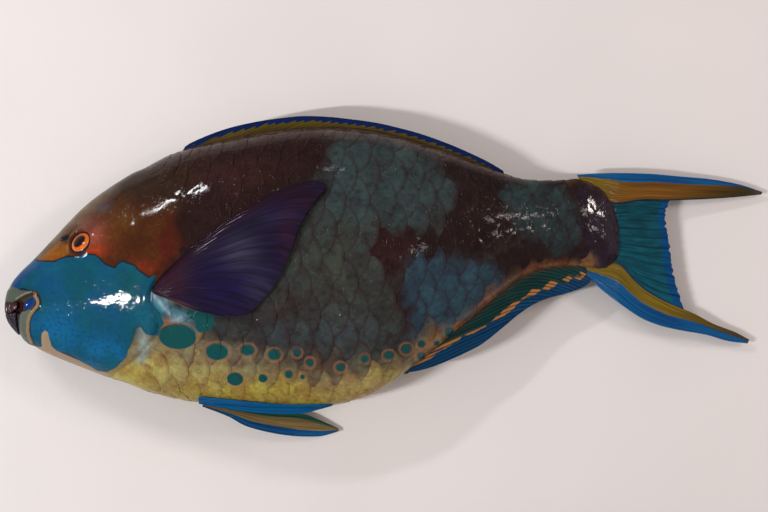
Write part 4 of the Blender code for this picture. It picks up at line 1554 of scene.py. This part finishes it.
@dataclass
class Coat:
    """The scales of one flank, rows of thin plates that overlap towards the tail."""

    name: str
    centre_turn: float
    seed: int
    long: float = 1.72
    half_high: float = 0.93
    sunk: float = -0.20
    proud: float = 0.86
    thick: float = 0.18
    dome: float = 0.08
    rear_drop: float = 0.10
    uneven: float = 0.05
    drift: float = 1.6
    own_tone: float = 0.35
    darkest: float = 0.32
    first: float = -178.0
    last: float = 138.0
    end: float = 145.9
    end_room: float = 147.5
    rows_each_way: int = 11
    fin_room: float = 1.5
    across: int = 7
    along: int = 3
    bake_patch: float = 0.003

    def plate(self) -> tuple[Array, Array]:
        """Models one scale flat: its points as (along, across, layer) shares, and its faces."""
        deselect()
        bpy.ops.mesh.primitive_grid_add(x_subdivisions=self.along, y_subdivisions=self.across, size=2.0)
        flat = bpy.context.active_object
        wall = flat.modifiers.new("wall", "SOLIDIFY")
        wall.thickness = 1.0
        wall.offset = -1.0
        apply_all(flat)
        points = read_points(flat)
        faces = np.array([list(face.vertices) for face in flat.data.polygons])
        bpy.data.objects.remove(flat, do_unlink=True)
        local = np.empty_like(points)
        local[:, 0] = 1 - (1 - (points[:, 0] + 1) / 2) ** 1.6
        local[:, 1] = np.sin(points[:, 1] * math.pi / 2)
        local[:, 2] = points[:, 2]
        return local, faces

    def sites(self) -> Array:
        """Where the scales are rooted: place along the body, row, pitch and row height."""
        found = []
        for row in range(-self.rows_each_way, self.rows_each_way + 1):
            x = self.first + (row % 2) * 0.5 * float(np.interp(self.first, *zip(*PITCH)))
            while x < self.last:
                pitch = float(np.interp(x, *zip(*PITCH)))
                step = float(np.interp(x, *zip(*ROW)))
                quarter = self.quarters(x)
                arc = row * step
                if quarter[0] - 0.25 * step <= arc <= quarter[1] + 0.25 * step:
                    angle = BODY.angle_at(np.array([x]), np.array([self.centre(x) + arc]))
                    if x >= edge_at(COAT_FRONT, angle)[0]:
                        found.append((x, row, pitch, step))
                x += pitch
        return np.array(found)

    def centre(self, x: Array | float) -> Array | float:
        """Arc from the left flank to this flank's middle line."""
        return np.interp(x, BODY.places, BODY.half_girth) if self.centre_turn else 0.0

    def quarters(self, x: float) -> tuple[float, float]:
        """Arcs from this flank's middle line to the lower ridge and to the upper one."""
        row = int(np.clip(np.rint(x - BODY.places[0]), 0, len(BODY.places) - 1))
        turns = np.array([-90.0, 90.0]) + self.centre_turn
        arcs = np.interp(turns, BODY.turns, BODY.runs[row]) - self.centre(x)
        return float(arcs[0]), float(arcs[1])

    def build(self) -> Piece:
        """Lays all the scales over the body and joins them."""
        local, faces = self.plate()
        sites = self.sites()
        rng = np.random.default_rng(self.seed)
        count, size = len(sites), len(local)
        spread = 1 + self.uneven * rng.standard_normal((count, 4))
        a, b, layer = (np.tile(local[:, k], (count, 1)) for k in range(3))
        root, row, pitch = (sites[:, k : k + 1] for k in range(3))
        length = np.minimum(self.long * pitch * np.clip(spread[:, :1], 0.94, 1.06), self.end_room - root)
        reach = 0.60 + 0.40 * np.sqrt(np.clip(1 - b**2, 0, 1))
        along = a * reach * length
        x = np.minimum(root + along, self.end)
        half = self.half_high * (0.80 + 0.20 * ease(a, 0.0, 0.5))
        arc = (row + b * half * np.clip(spread[:, 1:2], 0.95, 1.05)) * np.interp(x, *zip(*ROW))
        angle = BODY.angle_at(x.ravel(), (arc + self.centre(x)).ravel())
        base = BODY.surface(x.ravel(), angle)
        normal = BODY.normal(x.ravel(), angle)
        rise = self.sunk + (self.proud - self.sunk) * along / (self.long * pitch)
        rise = rise + self.dome * (1 - b**2) - self.rear_drop * ease(a, 0.97, 1.0) * (layer > -0.5)
        rise = rise + (spread[:, 2:3] - 1) * ease(a, 0.2, 1.0)
        fade = ease(root - edge_at(COAT_FRONT, angle.reshape(count, size)), -14.0, 4.0)
        belly = ease(-folded(angle).reshape(count, size), 28.0, 50.0)
        rise = rise * (0.5 + 0.5 * fade) * (1 - 0.35 * belly)
        height = (rise + layer * self.thick * (1 - 0.45 * a)).ravel() - RELIEF.coat
        points = base + normal * height[:, None]
        shown = ((self.proud - rise) * 0.5 + 0.02).ravel() - layer.ravel() * 0.1
        points[:, 2] = np.maximum(points[:, 2], np.where(normal[:, 2] < DOWNWARD, shown, 0.02))
        points[:, 2] = np.maximum(points[:, 2], PRESSED.clear_over(points, self.fin_room))
        coat = self.joined(points, faces, count, size)
        middle = base.reshape(count, size, 3).mean(axis=1)[:, :2] + rng.normal(0.0, self.drift, (count, 2))
        own = self.own_tone * np.repeat(middle, size, axis=0)
        paint_flesh(coat, base, angle, (1 - self.own_tone) * base[:, :2] + own)
        paint(coat, "rear", ((1 - a) * reach * length).ravel())
        paint(coat, "crisp", np.zeros(count * size))
        # No painted shade of hollows on the scales
        paint(coat, "dark", np.zeros(count * size))
        paint(coat, "tint", np.repeat(rng.uniform(0.0, self.darkest, count), size))
        self.map_for_bake(coat, local, sites)
        smooth(coat, 40.0)
        dress(coat, FleshFinish(f"{self.name} finish", Wet(), True).material())
        return coat

    def joined(self, points: Array, faces: Array, count: int, size: int) -> Piece:
        """Joins all the scales to one mesh.

        Args:
            points: The points of all the scales.
            faces: The faces of one scale.
            count: How many scales there are.
            size: How many points each has.

        Returns:
            The coat.
        """
        mesh = bpy.data.meshes.new(self.name)
        all_faces = (faces[None, :, :] + (np.arange(count) * size)[:, None, None]).reshape(-1, 4)
        mesh.from_pydata((points * MM).tolist(), [], all_faces.tolist())
        coat = bpy.data.objects.new(self.name, mesh)
        bpy.context.scene.collection.objects.link(coat)
        return coat

    def map_for_bake(self, coat: Piece, local: Array, sites: Array) -> None:
        """Gives each scale a small patch of the map, at its root's place on the unwrapped skin."""
        first, last = SECTIONS[0][0], SECTIONS[-1][0]
        spot_u = (sites[:, 0] - first) / (last - first)
        girth = 2 * np.interp(sites[:, 0], BODY.places, BODY.half_girth)
        spot_v = 0.5 + sites[:, 1] * sites[:, 3] / np.max(girth) * 1.9
        u = spot_u[:, None] + (local[None, :, 0] - 0.5) * self.bake_patch
        v = spot_v[:, None] + local[None, :, 1] / 2 * self.bake_patch
        whole = np.stack([u.ravel(), v.ravel()], axis=1)
        layer = coat.data.uv_layers.new(name="OFBake")
        corner = np.empty(len(coat.data.loops), np.int32)
        coat.data.loops.foreach_get("vertex_index", corner)
        layer.data.foreach_set("uv", whole[corner].astype(np.float32).ravel())


@dataclass
class Sheet:
    """A fin between two edges that run from its root to its tip, with rays in low relief."""

    name: str
    nodes: tuple[str, ...]
    slot: str
    inner: Points
    outer: Points
    thick: float
    rim_share: float
    rows: int
    columns: int
    ray_count: float
    finish: FinFinish
    ends: tuple[Points, Points] | None = None
    ray_depth: float = 0.45
    branching: float = 0.0
    fork: tuple[float, float] = (0.35, 0.7)
    least_thick: float = 0.4
    floor: float = 0.05

    def plan(self) -> Array:
        """The fin's outline filled with a grid, rows from root to tip."""
        inner = spline(self.inner, self.rows)
        outer = spline(self.outer, self.rows)
        across = np.linspace(0.0, 1.0, self.columns)[None, :, None]
        grid = inner[:, None, :] * (1 - across) + outer[:, None, :] * across
        if self.ends:
            along = np.linspace(0.0, 1.0, self.rows)[:, None, None]
            root, tip = (spline(edge, self.columns)[None, :, :] for edge in self.ends)
            straight_root = inner[0] * (1 - across) + outer[0] * across
            straight_tip = inner[-1] * (1 - across) + outer[-1] * across
            grid = grid + (root - straight_root) * (1 - along) + (tip - straight_tip) * along
        return grid

    def level(self, x: Array, y: Array) -> Array:
        """Height of the sheet over its plan."""
        raise NotImplementedError

    def rays(self, plan: Array, u: Array, v: Array) -> Array:
        """Count of rays passed, from one edge of the fin."""
        return v * self.ray_count

    def tones(self, plan: Array, u: Array, v: Array) -> Array:
        """Soft colour of the fin."""
        raise NotImplementedError

    def border(self, plan: Array, u: Array, v: Array) -> Array:
        """Distance beyond the border of the band: here there is no band."""
        return np.full(u.shape, OUTSIDE)

    def length_of(self, plan: Array, u: Array, v: Array) -> Array:
        """How far along its ray each point lies, in lengths of the streaks."""
        return u * 3.0

    def taper(self, u: Array, v: Array) -> Array:
        """Share of the full thickness over the fin."""
        return 1 - (1 - self.rim_share) * u

    def build(self) -> Piece:
        """Models the fin from a grid, thickened along its rays."""
        deselect()
        gaps = {"x_subdivisions": self.columns - 1, "y_subdivisions": self.rows - 1}
        bpy.ops.mesh.primitive_grid_add(**gaps, size=2.0)
        fin = named(bpy.context.active_object, self.name)
        flat = read_points(fin)
        column = np.rint((flat[:, 0] + 1) / 2 * (self.columns - 1)).astype(int)
        row = np.rint((flat[:, 1] + 1) / 2 * (self.rows - 1)).astype(int)
        plan = self.plan()[row, column]
        u = row / (self.rows - 1)
        v = column / (self.columns - 1)
        rays = self.rays(plan, u, v)
        ridge = 0.5 + 0.5 * np.cos(2 * math.pi * rays)
        split = 0.5 + 0.5 * np.cos(4 * math.pi * rays)
        forked = self.branching * ease(u, *self.fork)
        ridge = ridge * (1 - forked) + split * forked
        share = self.taper(u, v) * (1 - self.ray_depth + self.ray_depth * ridge)
        share = np.maximum(share, self.least_thick / self.thick)
        height = np.maximum(self.level(plan[:, 0], plan[:, 1]), share * self.thick / 2 + self.floor)
        write_points(fin, np.column_stack([plan, height]))
        paint(fin, "fin", self.tones(plan, u, v))
        paint(fin, "border", self.border(plan, u, v))
        paint(fin, "rays", rays)
        paint(fin, "along", self.length_of(plan, u, v))
        group = fin.vertex_groups.new(name="thickness")
        for index, weight in enumerate(np.clip(share, 0, 1)):
            group.add([index], float(weight), "REPLACE")
        solid = fin.modifiers.new("thickness", "SOLIDIFY")
        solid.thickness = self.thick * MM
        solid.offset = 0.0
        solid.vertex_group = "thickness"
        solid.thickness_vertex_group = 0.0
        apply_all(fin)
        fin.vertex_groups.clear()
        smooth(fin, 60.0)
        dress(fin, self.finish.material(), self.nodes)
        return fin


class MedianSheet(Sheet):
    """A fin that stands on the ridge of the back or of the belly."""

    def length_of(self, plan: Array, u: Array, v: Array) -> Array:
        """Along the short, slanting rays."""
        return v * 1.6

    def level(self, x: Array, y: Array) -> Array:
        """The mid-plane, with a slight wave along the free edge."""
        return BODY.section(x)[2] + 0.08 * np.sin(x * 0.31 + y * 0.2)


class DorsalSheet(MedianSheet):
    """The dorsal fin, folded back: spines in front, soft rays behind."""

    def rays(self, plan: Array, u: Array, v: Array) -> Array:
        """Rays that slant back steeply."""
        above = plan[:, 1] - BODY.section(plan[:, 0])[0]
        return (plan[:, 0] - 3.4 * above) / 6.2

    def tones(self, plan: Array, u: Array, v: Array) -> Array:
        """Olive yellow, browner at the root."""
        return blended("#33261a", "#5c4a08", v * 1.8)

    def border(self, plan: Array, u: Array, v: Array) -> Array:
        """The blue margin."""
        edge = spline(DORSAL_EDGE, 200)
        return plan[:, 1] - (np.interp(plan[:, 0], edge[:, 0], edge[:, 1]) - 3.3)


class AnalSheet(MedianSheet):
    """The anal fin: green at the base, a broken orange stripe, and a blue margin."""

    def rays(self, plan: Array, u: Array, v: Array) -> Array:
        """Rays that slant back."""
        below = BODY.section(plan[:, 0])[1] - plan[:, 1]
        return (plan[:, 0] - 2.6 * below) / 5.6

    def tones(self, plan: Array, u: Array, v: Array) -> Array:
        """Dark green, browner at the root."""
        return tinted(blended("#0b3a38", "#083432", v * 1.5), "#6a4420", 0.35 * bell(v, 0.14))

    def border(self, plan: Array, u: Array, v: Array) -> Array:
        """Distance beyond the orange stripe."""
        line = spline(ANAL_STRIPE, 200)
        return (np.interp(plan[:, 0], line[:, 0], line[:, 1]) - plan[:, 1]) * 0.82


class TailSheet(Sheet):
    """A part of the tail fin, which droops to the board."""

    def level(self, x: Array, y: Array) -> Array:
        """Height of the drooping sheet."""
        return np.interp(x, *zip(*TAIL_DROOP))


class UpperLobe(TailSheet):
    """The upper lobe: ochre, with a blue upper margin and a dark under edge."""

    def tones(self, plan: Array, u: Array, v: Array) -> Array:
        """Ochre, darker to the tip and blue-black along the under edge."""
        ochre = blended("#7a621a", "#7a501a", ease(u, 0.12, 0.45))
        ochre = tinted(ochre, "#352b0c", ease(u, 0.55, 0.95))
        return tinted(ochre, "#10242c", 1 - ease(v, 0.02, 0.12))

    def border(self, plan: Array, u: Array, v: Array) -> Array:
        """The blue upper margin."""
        return (v - 0.70 - 0.24 * ease(u, 0.65, 1.0)) * 13.0


class LowerLobe(TailSheet):
    """The lower lobe: ochre above and blue below."""

    def tones(self, plan: Array, u: Array, v: Array) -> Array:
        """Ochre, browner at the tip, with a blue upper edge near the root."""
        ochre = blended("#7a641c", "#4c3816", ease(u, 0.45, 0.95))
        below = (ease(v, 0.0, 0.10) + ease(u, 0.5, 0.62)).clip(0, 1)
        return tinted(ochre, "#062c4e", 1 - below)

    def border(self, plan: Array, u: Array, v: Array) -> Array:
        """The blue lower half."""
        return (v - 0.50 + 0.12 * ease(u, 0.5, 0.8)) * 16.0


class TailWeb(TailSheet):
    """The web between the lobes: teal, with a blue rear margin."""

    def tones(self, plan: Array, u: Array, v: Array) -> Array:
        """Teal, brighter below."""
        return blended("#0a4350", "#0a5162", v)

    def border(self, plan: Array, u: Array, v: Array) -> Array:
        """The blue rear margin."""
        return (u - 0.89) * 40.0

    def plan(self) -> Array:
        """The web with its rear edge frayed between the rays."""
        grid = super().plan()
        u = np.linspace(0.0, 1.0, self.rows)[:, None]
        v = np.linspace(0.0, 1.0, self.columns)[None, :]
        fray = 0.7 * np.abs(np.sin(v * math.pi * 15.0)) + 0.45 * np.sin(v * 97.0) * np.sin(v * 31.0 + 1.0)
        grid[:, :, 0] += fray * ease(u, 0.86, 1.0) * ease(v, 0.0, 0.1) * (1 - ease(v, 0.9, 1.0)) - 0.3
        return grid


class LeftPectoral(Sheet):
    """The left pectoral fin, swept up over the flank."""

    lift: float = 2.2
    root_gap: float = 0.3

    def level(self, x: Array, y: Array) -> Array:
        """Close over the flank at the root, lifting to the tip."""
        start, end = PECTORAL_LEAD[0][0], PECTORAL_LEAD[-1][0]
        along = np.clip((x - start) / (end - start), 0, 1)
        return BODY.flank_height(x, y) + self.thick / 2 + self.root_gap + self.lift * along

    def tones(self, plan: Array, u: Array, v: Array) -> Array:
        """Maroon at the base and the tip, violet between, with a dark lead and a brown lower edge."""
        result = blended("#341e2c", "#1c1230", ease(u, 0.05, 0.4))
        result = laid_over(result, plan, PECTORAL_TONES)
        result = tinted(result, "#1a0c18", 0.7 * bell(v, 0.06))
        return tinted(result, "#6a463c", 0.7 * ease(v, 0.93, 1.0) * (1 - ease(u, 0.5, 0.8)))


class RightPectoral(LeftPectoral):
    """The right pectoral fin, pressed flat under the body."""

    def level(self, x: Array, y: Array) -> Array:
        """One level just over the board."""
        return np.full(np.shape(x), PRESSED.floor + PRESSED.thick / 2)


class LeftPelvic(Sheet):
    """The left pelvic fin, folded along the belly."""

    over_flank: float = 2.0
    lowest: float = 40.6

    def level(self, x: Array, y: Array) -> Array:
        """Just over the flank, and level beyond it."""
        return np.maximum(BODY.flank_height(x, y) + self.over_flank, self.lowest)

    def tones(self, plan: Array, u: Array, v: Array) -> Array:
        """Blue, teal towards the tip."""
        return blended("#005f9a", "#0c4f70", ease(u, 0.5, 1.0))


class RightPelvic(Sheet):
    """The right pelvic fin, splayed down to the board."""

    high: float = 21.0
    low: float = 3.0
    run: float = 86.0

    def level(self, x: Array, y: Array) -> Array:
        """From beside the belly down to the board."""
        along = np.clip((x - RIGHT_PELVIC_INNER[0][0]) / self.run, 0, 1)
        return self.high + (self.low - self.high) * along**0.8

    def tones(self, plan: Array, u: Array, v: Array) -> Array:
        """Green inside, tan in the middle."""
        return blended("#1c4a3c", "#8a7145", ease(v, 0.12, 0.4))

    def border(self, plan: Array, u: Array, v: Array) -> Array:
        """The blue lower margin."""
        return (v - 0.66) * 12.0


RIDGE_POINTS = 120
LEAST_TALL = 0.8
END_SUNK = 0.9
END_SHARES = (0.03, 0.955)
ROOT_SUNK = 2.2


def ridge_line(edge: Points, row: int, offset: float) -> tuple[Array, Array]:
    """The root and the free edge of a fin on a ridge of the body.

    Args:
        edge: The fin's free edge.
        row: 0 for the back and 1 for the belly.
        offset: How far the root stands off the ridge, with the sign of the fin's side.

    Returns:
        The root and the free edge, with equal counts of points.
    """
    outer = spline(edge, RIDGE_POINTS)
    xs = outer[:, 0]
    root = np.stack([xs, BODY.section(xs)[row] + offset], axis=1)
    side = math.copysign(1.0, offset)
    tall = np.maximum((outer[:, 1] - root[:, 1]) * side, LEAST_TALL)
    share = np.linspace(0.0, 1.0, len(xs))
    sunk = np.maximum(1 - ease(share, 0.0, END_SHARES[0]), ease(share, END_SHARES[1], 1.0))
    outer[:, 1] = root[:, 1] + side * (tall - (tall + END_SUNK) * sunk)
    root[:, 1] -= side * ROOT_SUNK
    return root, outer


@dataclass
class Fins:
    """All the fins of the fish, with the colours of their bands."""

    blue: Hue = (0.001, 0.014, 0.085)
    teal: Hue = (0.0005, 0.062, 0.185)
    bright: Hue = (0.004, 0.092, 0.250)
    deep: Hue = (0.001, 0.048, 0.125)

    def build(self) -> None:
        """Builds each fin."""
        self.ridge_fins()
        self.tail()
        self.pectorals()
        self.pelvics()

    def ridge_fins(self) -> None:
        """Builds the dorsal fin and the anal fin."""
        dorsal_root, dorsal_edge = ridge_line(DORSAL_EDGE, 0, 0.4)
        anal_root, anal_edge = ridge_line(ANAL_EDGE, 1, -0.4)
        DorsalSheet(
            "dorsal_fin_sheet", ("dorsal_fin",), "blue_fin", dorsal_root, dorsal_edge,
            thick=1.2, rim_share=1.0, rows=420, columns=16, ray_count=1.0, ray_depth=0.25,
            finish=FinFinish("dorsal finish", self.blue, jag=0.8, dark_rays=0.45),
        ).build()
        AnalSheet(
            "anal_fin_sheet", ("anal_fin",), "blue_fin", anal_root, anal_edge,
            thick=1.2, rim_share=1.0, rows=360, columns=64, ray_count=1.0, ray_depth=0.2,
            finish=FinFinish("anal finish", self.deep, jag=1.1, dark_rays=0.85, stripe_half=0.9, steps=0.34,
                             ray_width=-0.4),
        ).build()

    def tail(self) -> None:
        """Builds the two lobes of the tail fin and the web between them."""
        lobe = {"thick": 3.4, "rim_share": 0.28, "rows": 120, "columns": 44, "ray_count": 6.0}
        UpperLobe(
            "tail_lobe_upper", ("caudal_fin_upper_lobe",), "tail_lobe", UPPER_LOBE_UNDER, UPPER_LOBE_TOP,
            finish=FinFinish("upper lobe finish", self.bright, jag=0.2, dark_rays=0.25),
            ray_depth=0.05, **lobe,
        ).build()
        LowerLobe(
            "tail_lobe_lower", ("caudal_fin_lower_lobe",), "tail_lobe", LOWER_LOBE_TOP, LOWER_LOBE_UNDER,
            finish=FinFinish("lower lobe finish", self.bright, jag=0.25, dark_rays=0.25),
            ray_depth=0.05, **lobe,
        ).build()
        TailWeb(
            "tail_web", ("caudal_fin_web",), "blue_fin", WEB_TOP, WEB_FOOT, ends=(WEB_FRONT, WEB_REAR),
            thick=1.8, rim_share=0.5, rows=60, columns=150, ray_count=13.0, ray_depth=0.08, branching=0.6,
            finish=FinFinish("web finish", self.teal, jag=0.3, dark_rays=0.5),
        ).build()

    def pectorals(self) -> None:
        """Builds the swept left pectoral fin and the pressed right one."""
        violet = FinFinish("violet fin", self.blue, jag=0.0, dark_rays=0.5)
        LeftPectoral(
            "pectoral_left", ("pectoral_fin_left",), "violet_fin", PECTORAL_LEAD, PECTORAL_INNER,
            ends=(PECTORAL_ROOT, PECTORAL_MARGIN), finish=violet,
            thick=2.6, rim_share=0.3, rows=90, columns=150, ray_count=14.0, ray_depth=0.22, branching=0.7,
        ).build()
        RightPectoral(
            "pectoral_right", ("pectoral_fin_right",), "violet_fin", PECTORAL_LEAD, PECTORAL_INNER,
            ends=(PECTORAL_ROOT, PECTORAL_MARGIN), finish=violet,
            thick=0.9, rim_share=0.8, rows=60, columns=110, ray_count=13.0, ray_depth=0.3, branching=0.8,
        ).build()

    def pelvics(self) -> None:
        """Builds the folded left pelvic fin and the splayed right one."""
        fin = {"thick": 1.4, "rim_share": 0.6, "rows": 90, "columns": 36, "ray_count": 5.0}
        LeftPelvic(
            "pelvic_left", ("pelvic_fin_left",), "blue_fin", LEFT_PELVIC_INNER, LEFT_PELVIC_OUTER,
            finish=FinFinish("left pelvic finish", self.teal, jag=0.2, dark_rays=0.4), **fin,
        ).build()
        RightPelvic(
            "pelvic_right", ("pelvic_fin_right",), "blue_fin", RIGHT_PELVIC_INNER, RIGHT_PELVIC_OUTER,
            finish=FinFinish("right pelvic finish", self.bright, jag=0.3, dark_rays=0.4), **fin,
        ).build()


@dataclass
class BeakPlate:
    """One of the two plates of fused teeth."""

    name: str
    node: str
    finish: BeakFinish
    voxel: float = 0.42
    soft_rounds: int = 8
    tooth: float = 1.5
    swell: float = 0.25
    groove: float = 0.16

    def build(self, frame: dict) -> Piece:
        """Rounds a copy of the solid plate and cuts shallow grooves between its teeth."""
        mesh = frame["nodes"][self.node].data.copy()
        plate = bpy.data.objects.new(self.name, mesh)
        bpy.context.scene.collection.objects.link(plate)
        mesh.name = self.name
        activate(plate)
        bpy.ops.object.mode_set(mode="EDIT")
        bpy.ops.mesh.select_all(action="SELECT")
        bpy.ops.mesh.remove_doubles(threshold=1e-5)
        bpy.ops.object.mode_set(mode="OBJECT")
        remesh = plate.modifiers.new("even", "REMESH")
        remesh.mode = "VOXEL"
        remesh.voxel_size = self.voxel * MM
        soft = plate.modifiers.new("soft", "SMOOTH")
        soft.factor = 0.5
        soft.iterations = self.soft_rounds
        apply_all(plate)
        points = read_points(plate) / MM
        normals = np.empty(len(points) * 3, np.float32)
        plate.data.vertices.foreach_get("normal", normals)
        normals = normals.reshape(-1, 3)
        height = self.groove * np.cos(2 * math.pi * points[:, 2] / self.tooth) + self.swell
        write_points(plate, points + normals * height[:, None])
        smooth(plate, 70.0)
        dress(plate, self.finish.material(), (self.node,))
        return plate


@dataclass(frozen=True)
class Lamp:
    """An area light: its middle, the run from there to one end, width, power and warmth."""

    middle: Hue
    run: Hue
    width: float
    power: float
    warmth: float


class Light(Enum):
    """The studio's lights: one for each glint on the wet fish, and one for the board's warm side."""

    NAPE = Lamp((-0.81, 0.91, 0.91), (0.15, 0.10, 0.0), width=0.06, power=5.0, warmth=-0.2)
    CHEEK = Lamp((-0.98, -0.22, 1.16), (0.14, 0.0, 0.09), width=0.036, power=11.8, warmth=-0.3)
    STALK = Lamp((1.06, 0.46, 1.04), (0.0, -0.16, 0.03), width=0.05, power=4.2, warmth=1.8)
    FLANK = Lamp((0.62, -0.02, 1.36), (0.03, 0.0, 0.0), width=0.02, power=0.12, warmth=1.0)
    BACK = Lamp((-0.02, 1.12, 0.98), (0.06, 0.0, 0.0), width=0.03, power=0.14, warmth=0.5)
    TAIL_HIGH = Lamp((0.95, 0.36, 1.12), (0.0, -0.05, 0.0), width=0.02, power=0.22, warmth=1.0)
    TAIL_LOW = Lamp((0.98, 0.02, 1.10), (0.0, -0.04, 0.0), width=0.02, power=0.18, warmth=1.0)
    RIGHT = Lamp((2.0, 0.2, 1.1), (0.0, 0.9, 0.0), width=1.6, power=4.0, warmth=2.0)


@dataclass
class Studio:
    """A pale board, soft light and the camera straight above."""

    board_half: float = 2.4
    camera_at: tuple[float, float, float] = (-0.0028, 0.0142, 1.050)
    lens: float = 76.3
    sensor: float = 36.0
    air: float = 0.31
    air_tint: Hue = (1.0, 0.95, 0.92)
    pale: Hue = (0.81, 0.75, 0.735)
    clouded: Hue = (0.77, 0.715, 0.70)
    green_loss: float = 0.07
    blue_loss: float = 0.10

    def build(self) -> None:
        """Builds the board, the lights and the camera."""
        self.board()
        for light in Light:
            self.lamp(light)
        self.surroundings()
        self.camera()

    def surroundings(self) -> None:
        """Fills the air with soft light."""
        world = bpy.data.worlds.new("studio air")
        world.use_nodes = True
        air = world.node_tree.nodes["Background"]
        air.inputs["Color"].default_value = (*self.air_tint, 1.0)
        air.inputs["Strength"].default_value = self.air
        bpy.context.scene.world = world
        bpy.context.scene.view_settings.view_transform = "Standard"

    def camera(self) -> None:
        """Hangs the camera straight over the fish."""
        lens = bpy.data.cameras.new("camera")
        lens.lens = self.lens
        lens.sensor_width = self.sensor
        camera = bpy.data.objects.new("camera", lens)
        camera.location = self.camera_at
        bpy.context.scene.collection.objects.link(camera)
        bpy.context.scene.camera = camera

    def board(self) -> None:
        """Lays the pale board."""
        deselect()
        bpy.ops.mesh.primitive_plane_add(size=2 * self.board_half)
        floor = named(bpy.context.active_object, "board")
        shade = Shade("pale board")
        cloud = shade.noise(5.0, 2.0)
        grain = shade.noise(160.0, 3.0)
        base = shade.mix(shade.ramp(cloud, 0.35, 0.65), self.clouded, self.pale)
        wet = Wet(roughness=0.5, specular=0.3, coat=0.25, coat_roughness=0.25)
        floor.data.materials.append(shade.finish(base, wet, shade.relief([(grain, 0.12)])))

    def lamp(self, light: Light) -> None:
        """Hangs one area light, turned to the middle of the board."""
        lamp = light.value
        away = np.array(lamp.middle) / np.linalg.norm(lamp.middle)
        along = np.array(lamp.run)
        half = float(np.linalg.norm(along))
        along = along / half - away * float(along @ away) / half
        along /= np.linalg.norm(along)
        data = bpy.data.lights.new(light.name.lower(), "AREA")
        data.shape = "RECTANGLE"
        data.size = 2 * half
        data.size_y = lamp.width
        data.energy = lamp.power
        data.color = (1.0, 1.0 - self.green_loss * lamp.warmth, 1.0 - self.blue_loss * lamp.warmth)
        hung = bpy.data.objects.new(light.name.lower(), data)
        axes = Matrix(np.stack([along, np.cross(away, along), away], axis=1).tolist())
        hung.matrix_world = Matrix.Translation(lamp.middle) @ axes.to_4x4()
        bpy.context.scene.collection.objects.link(hung)


def main() -> None:
    """Builds the fish round its solids, and the studio."""
    logging.basicConfig(level=logging.INFO, format="%(name)s %(message)s")
    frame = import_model()
    Studio().build()
    Skin().build()
    Coat("scales_left", 0.0, 11).build()
    Coat("scales_right", 180.0, 12).build()
    EYES[0].build("eyeball_left", "eye_left")
    EYES[1].build("eyeball_right", "eye_right")
    upper_beak = BeakFinish("upper beak", (0.020, 0.002, 0.003), (0.085, 0.014, 0.013))
    lower_beak = BeakFinish("lower beak", (0.006, 0.002, 0.012), (0.030, 0.018, 0.036))
    BeakPlate("beak_plate_upper", "beak_upper", upper_beak).build(frame)
    BeakPlate("beak_plate_lower", "beak_lower", lower_beak).build(frame)
    Fins().build()


if __name__ == "__main__":
    main()
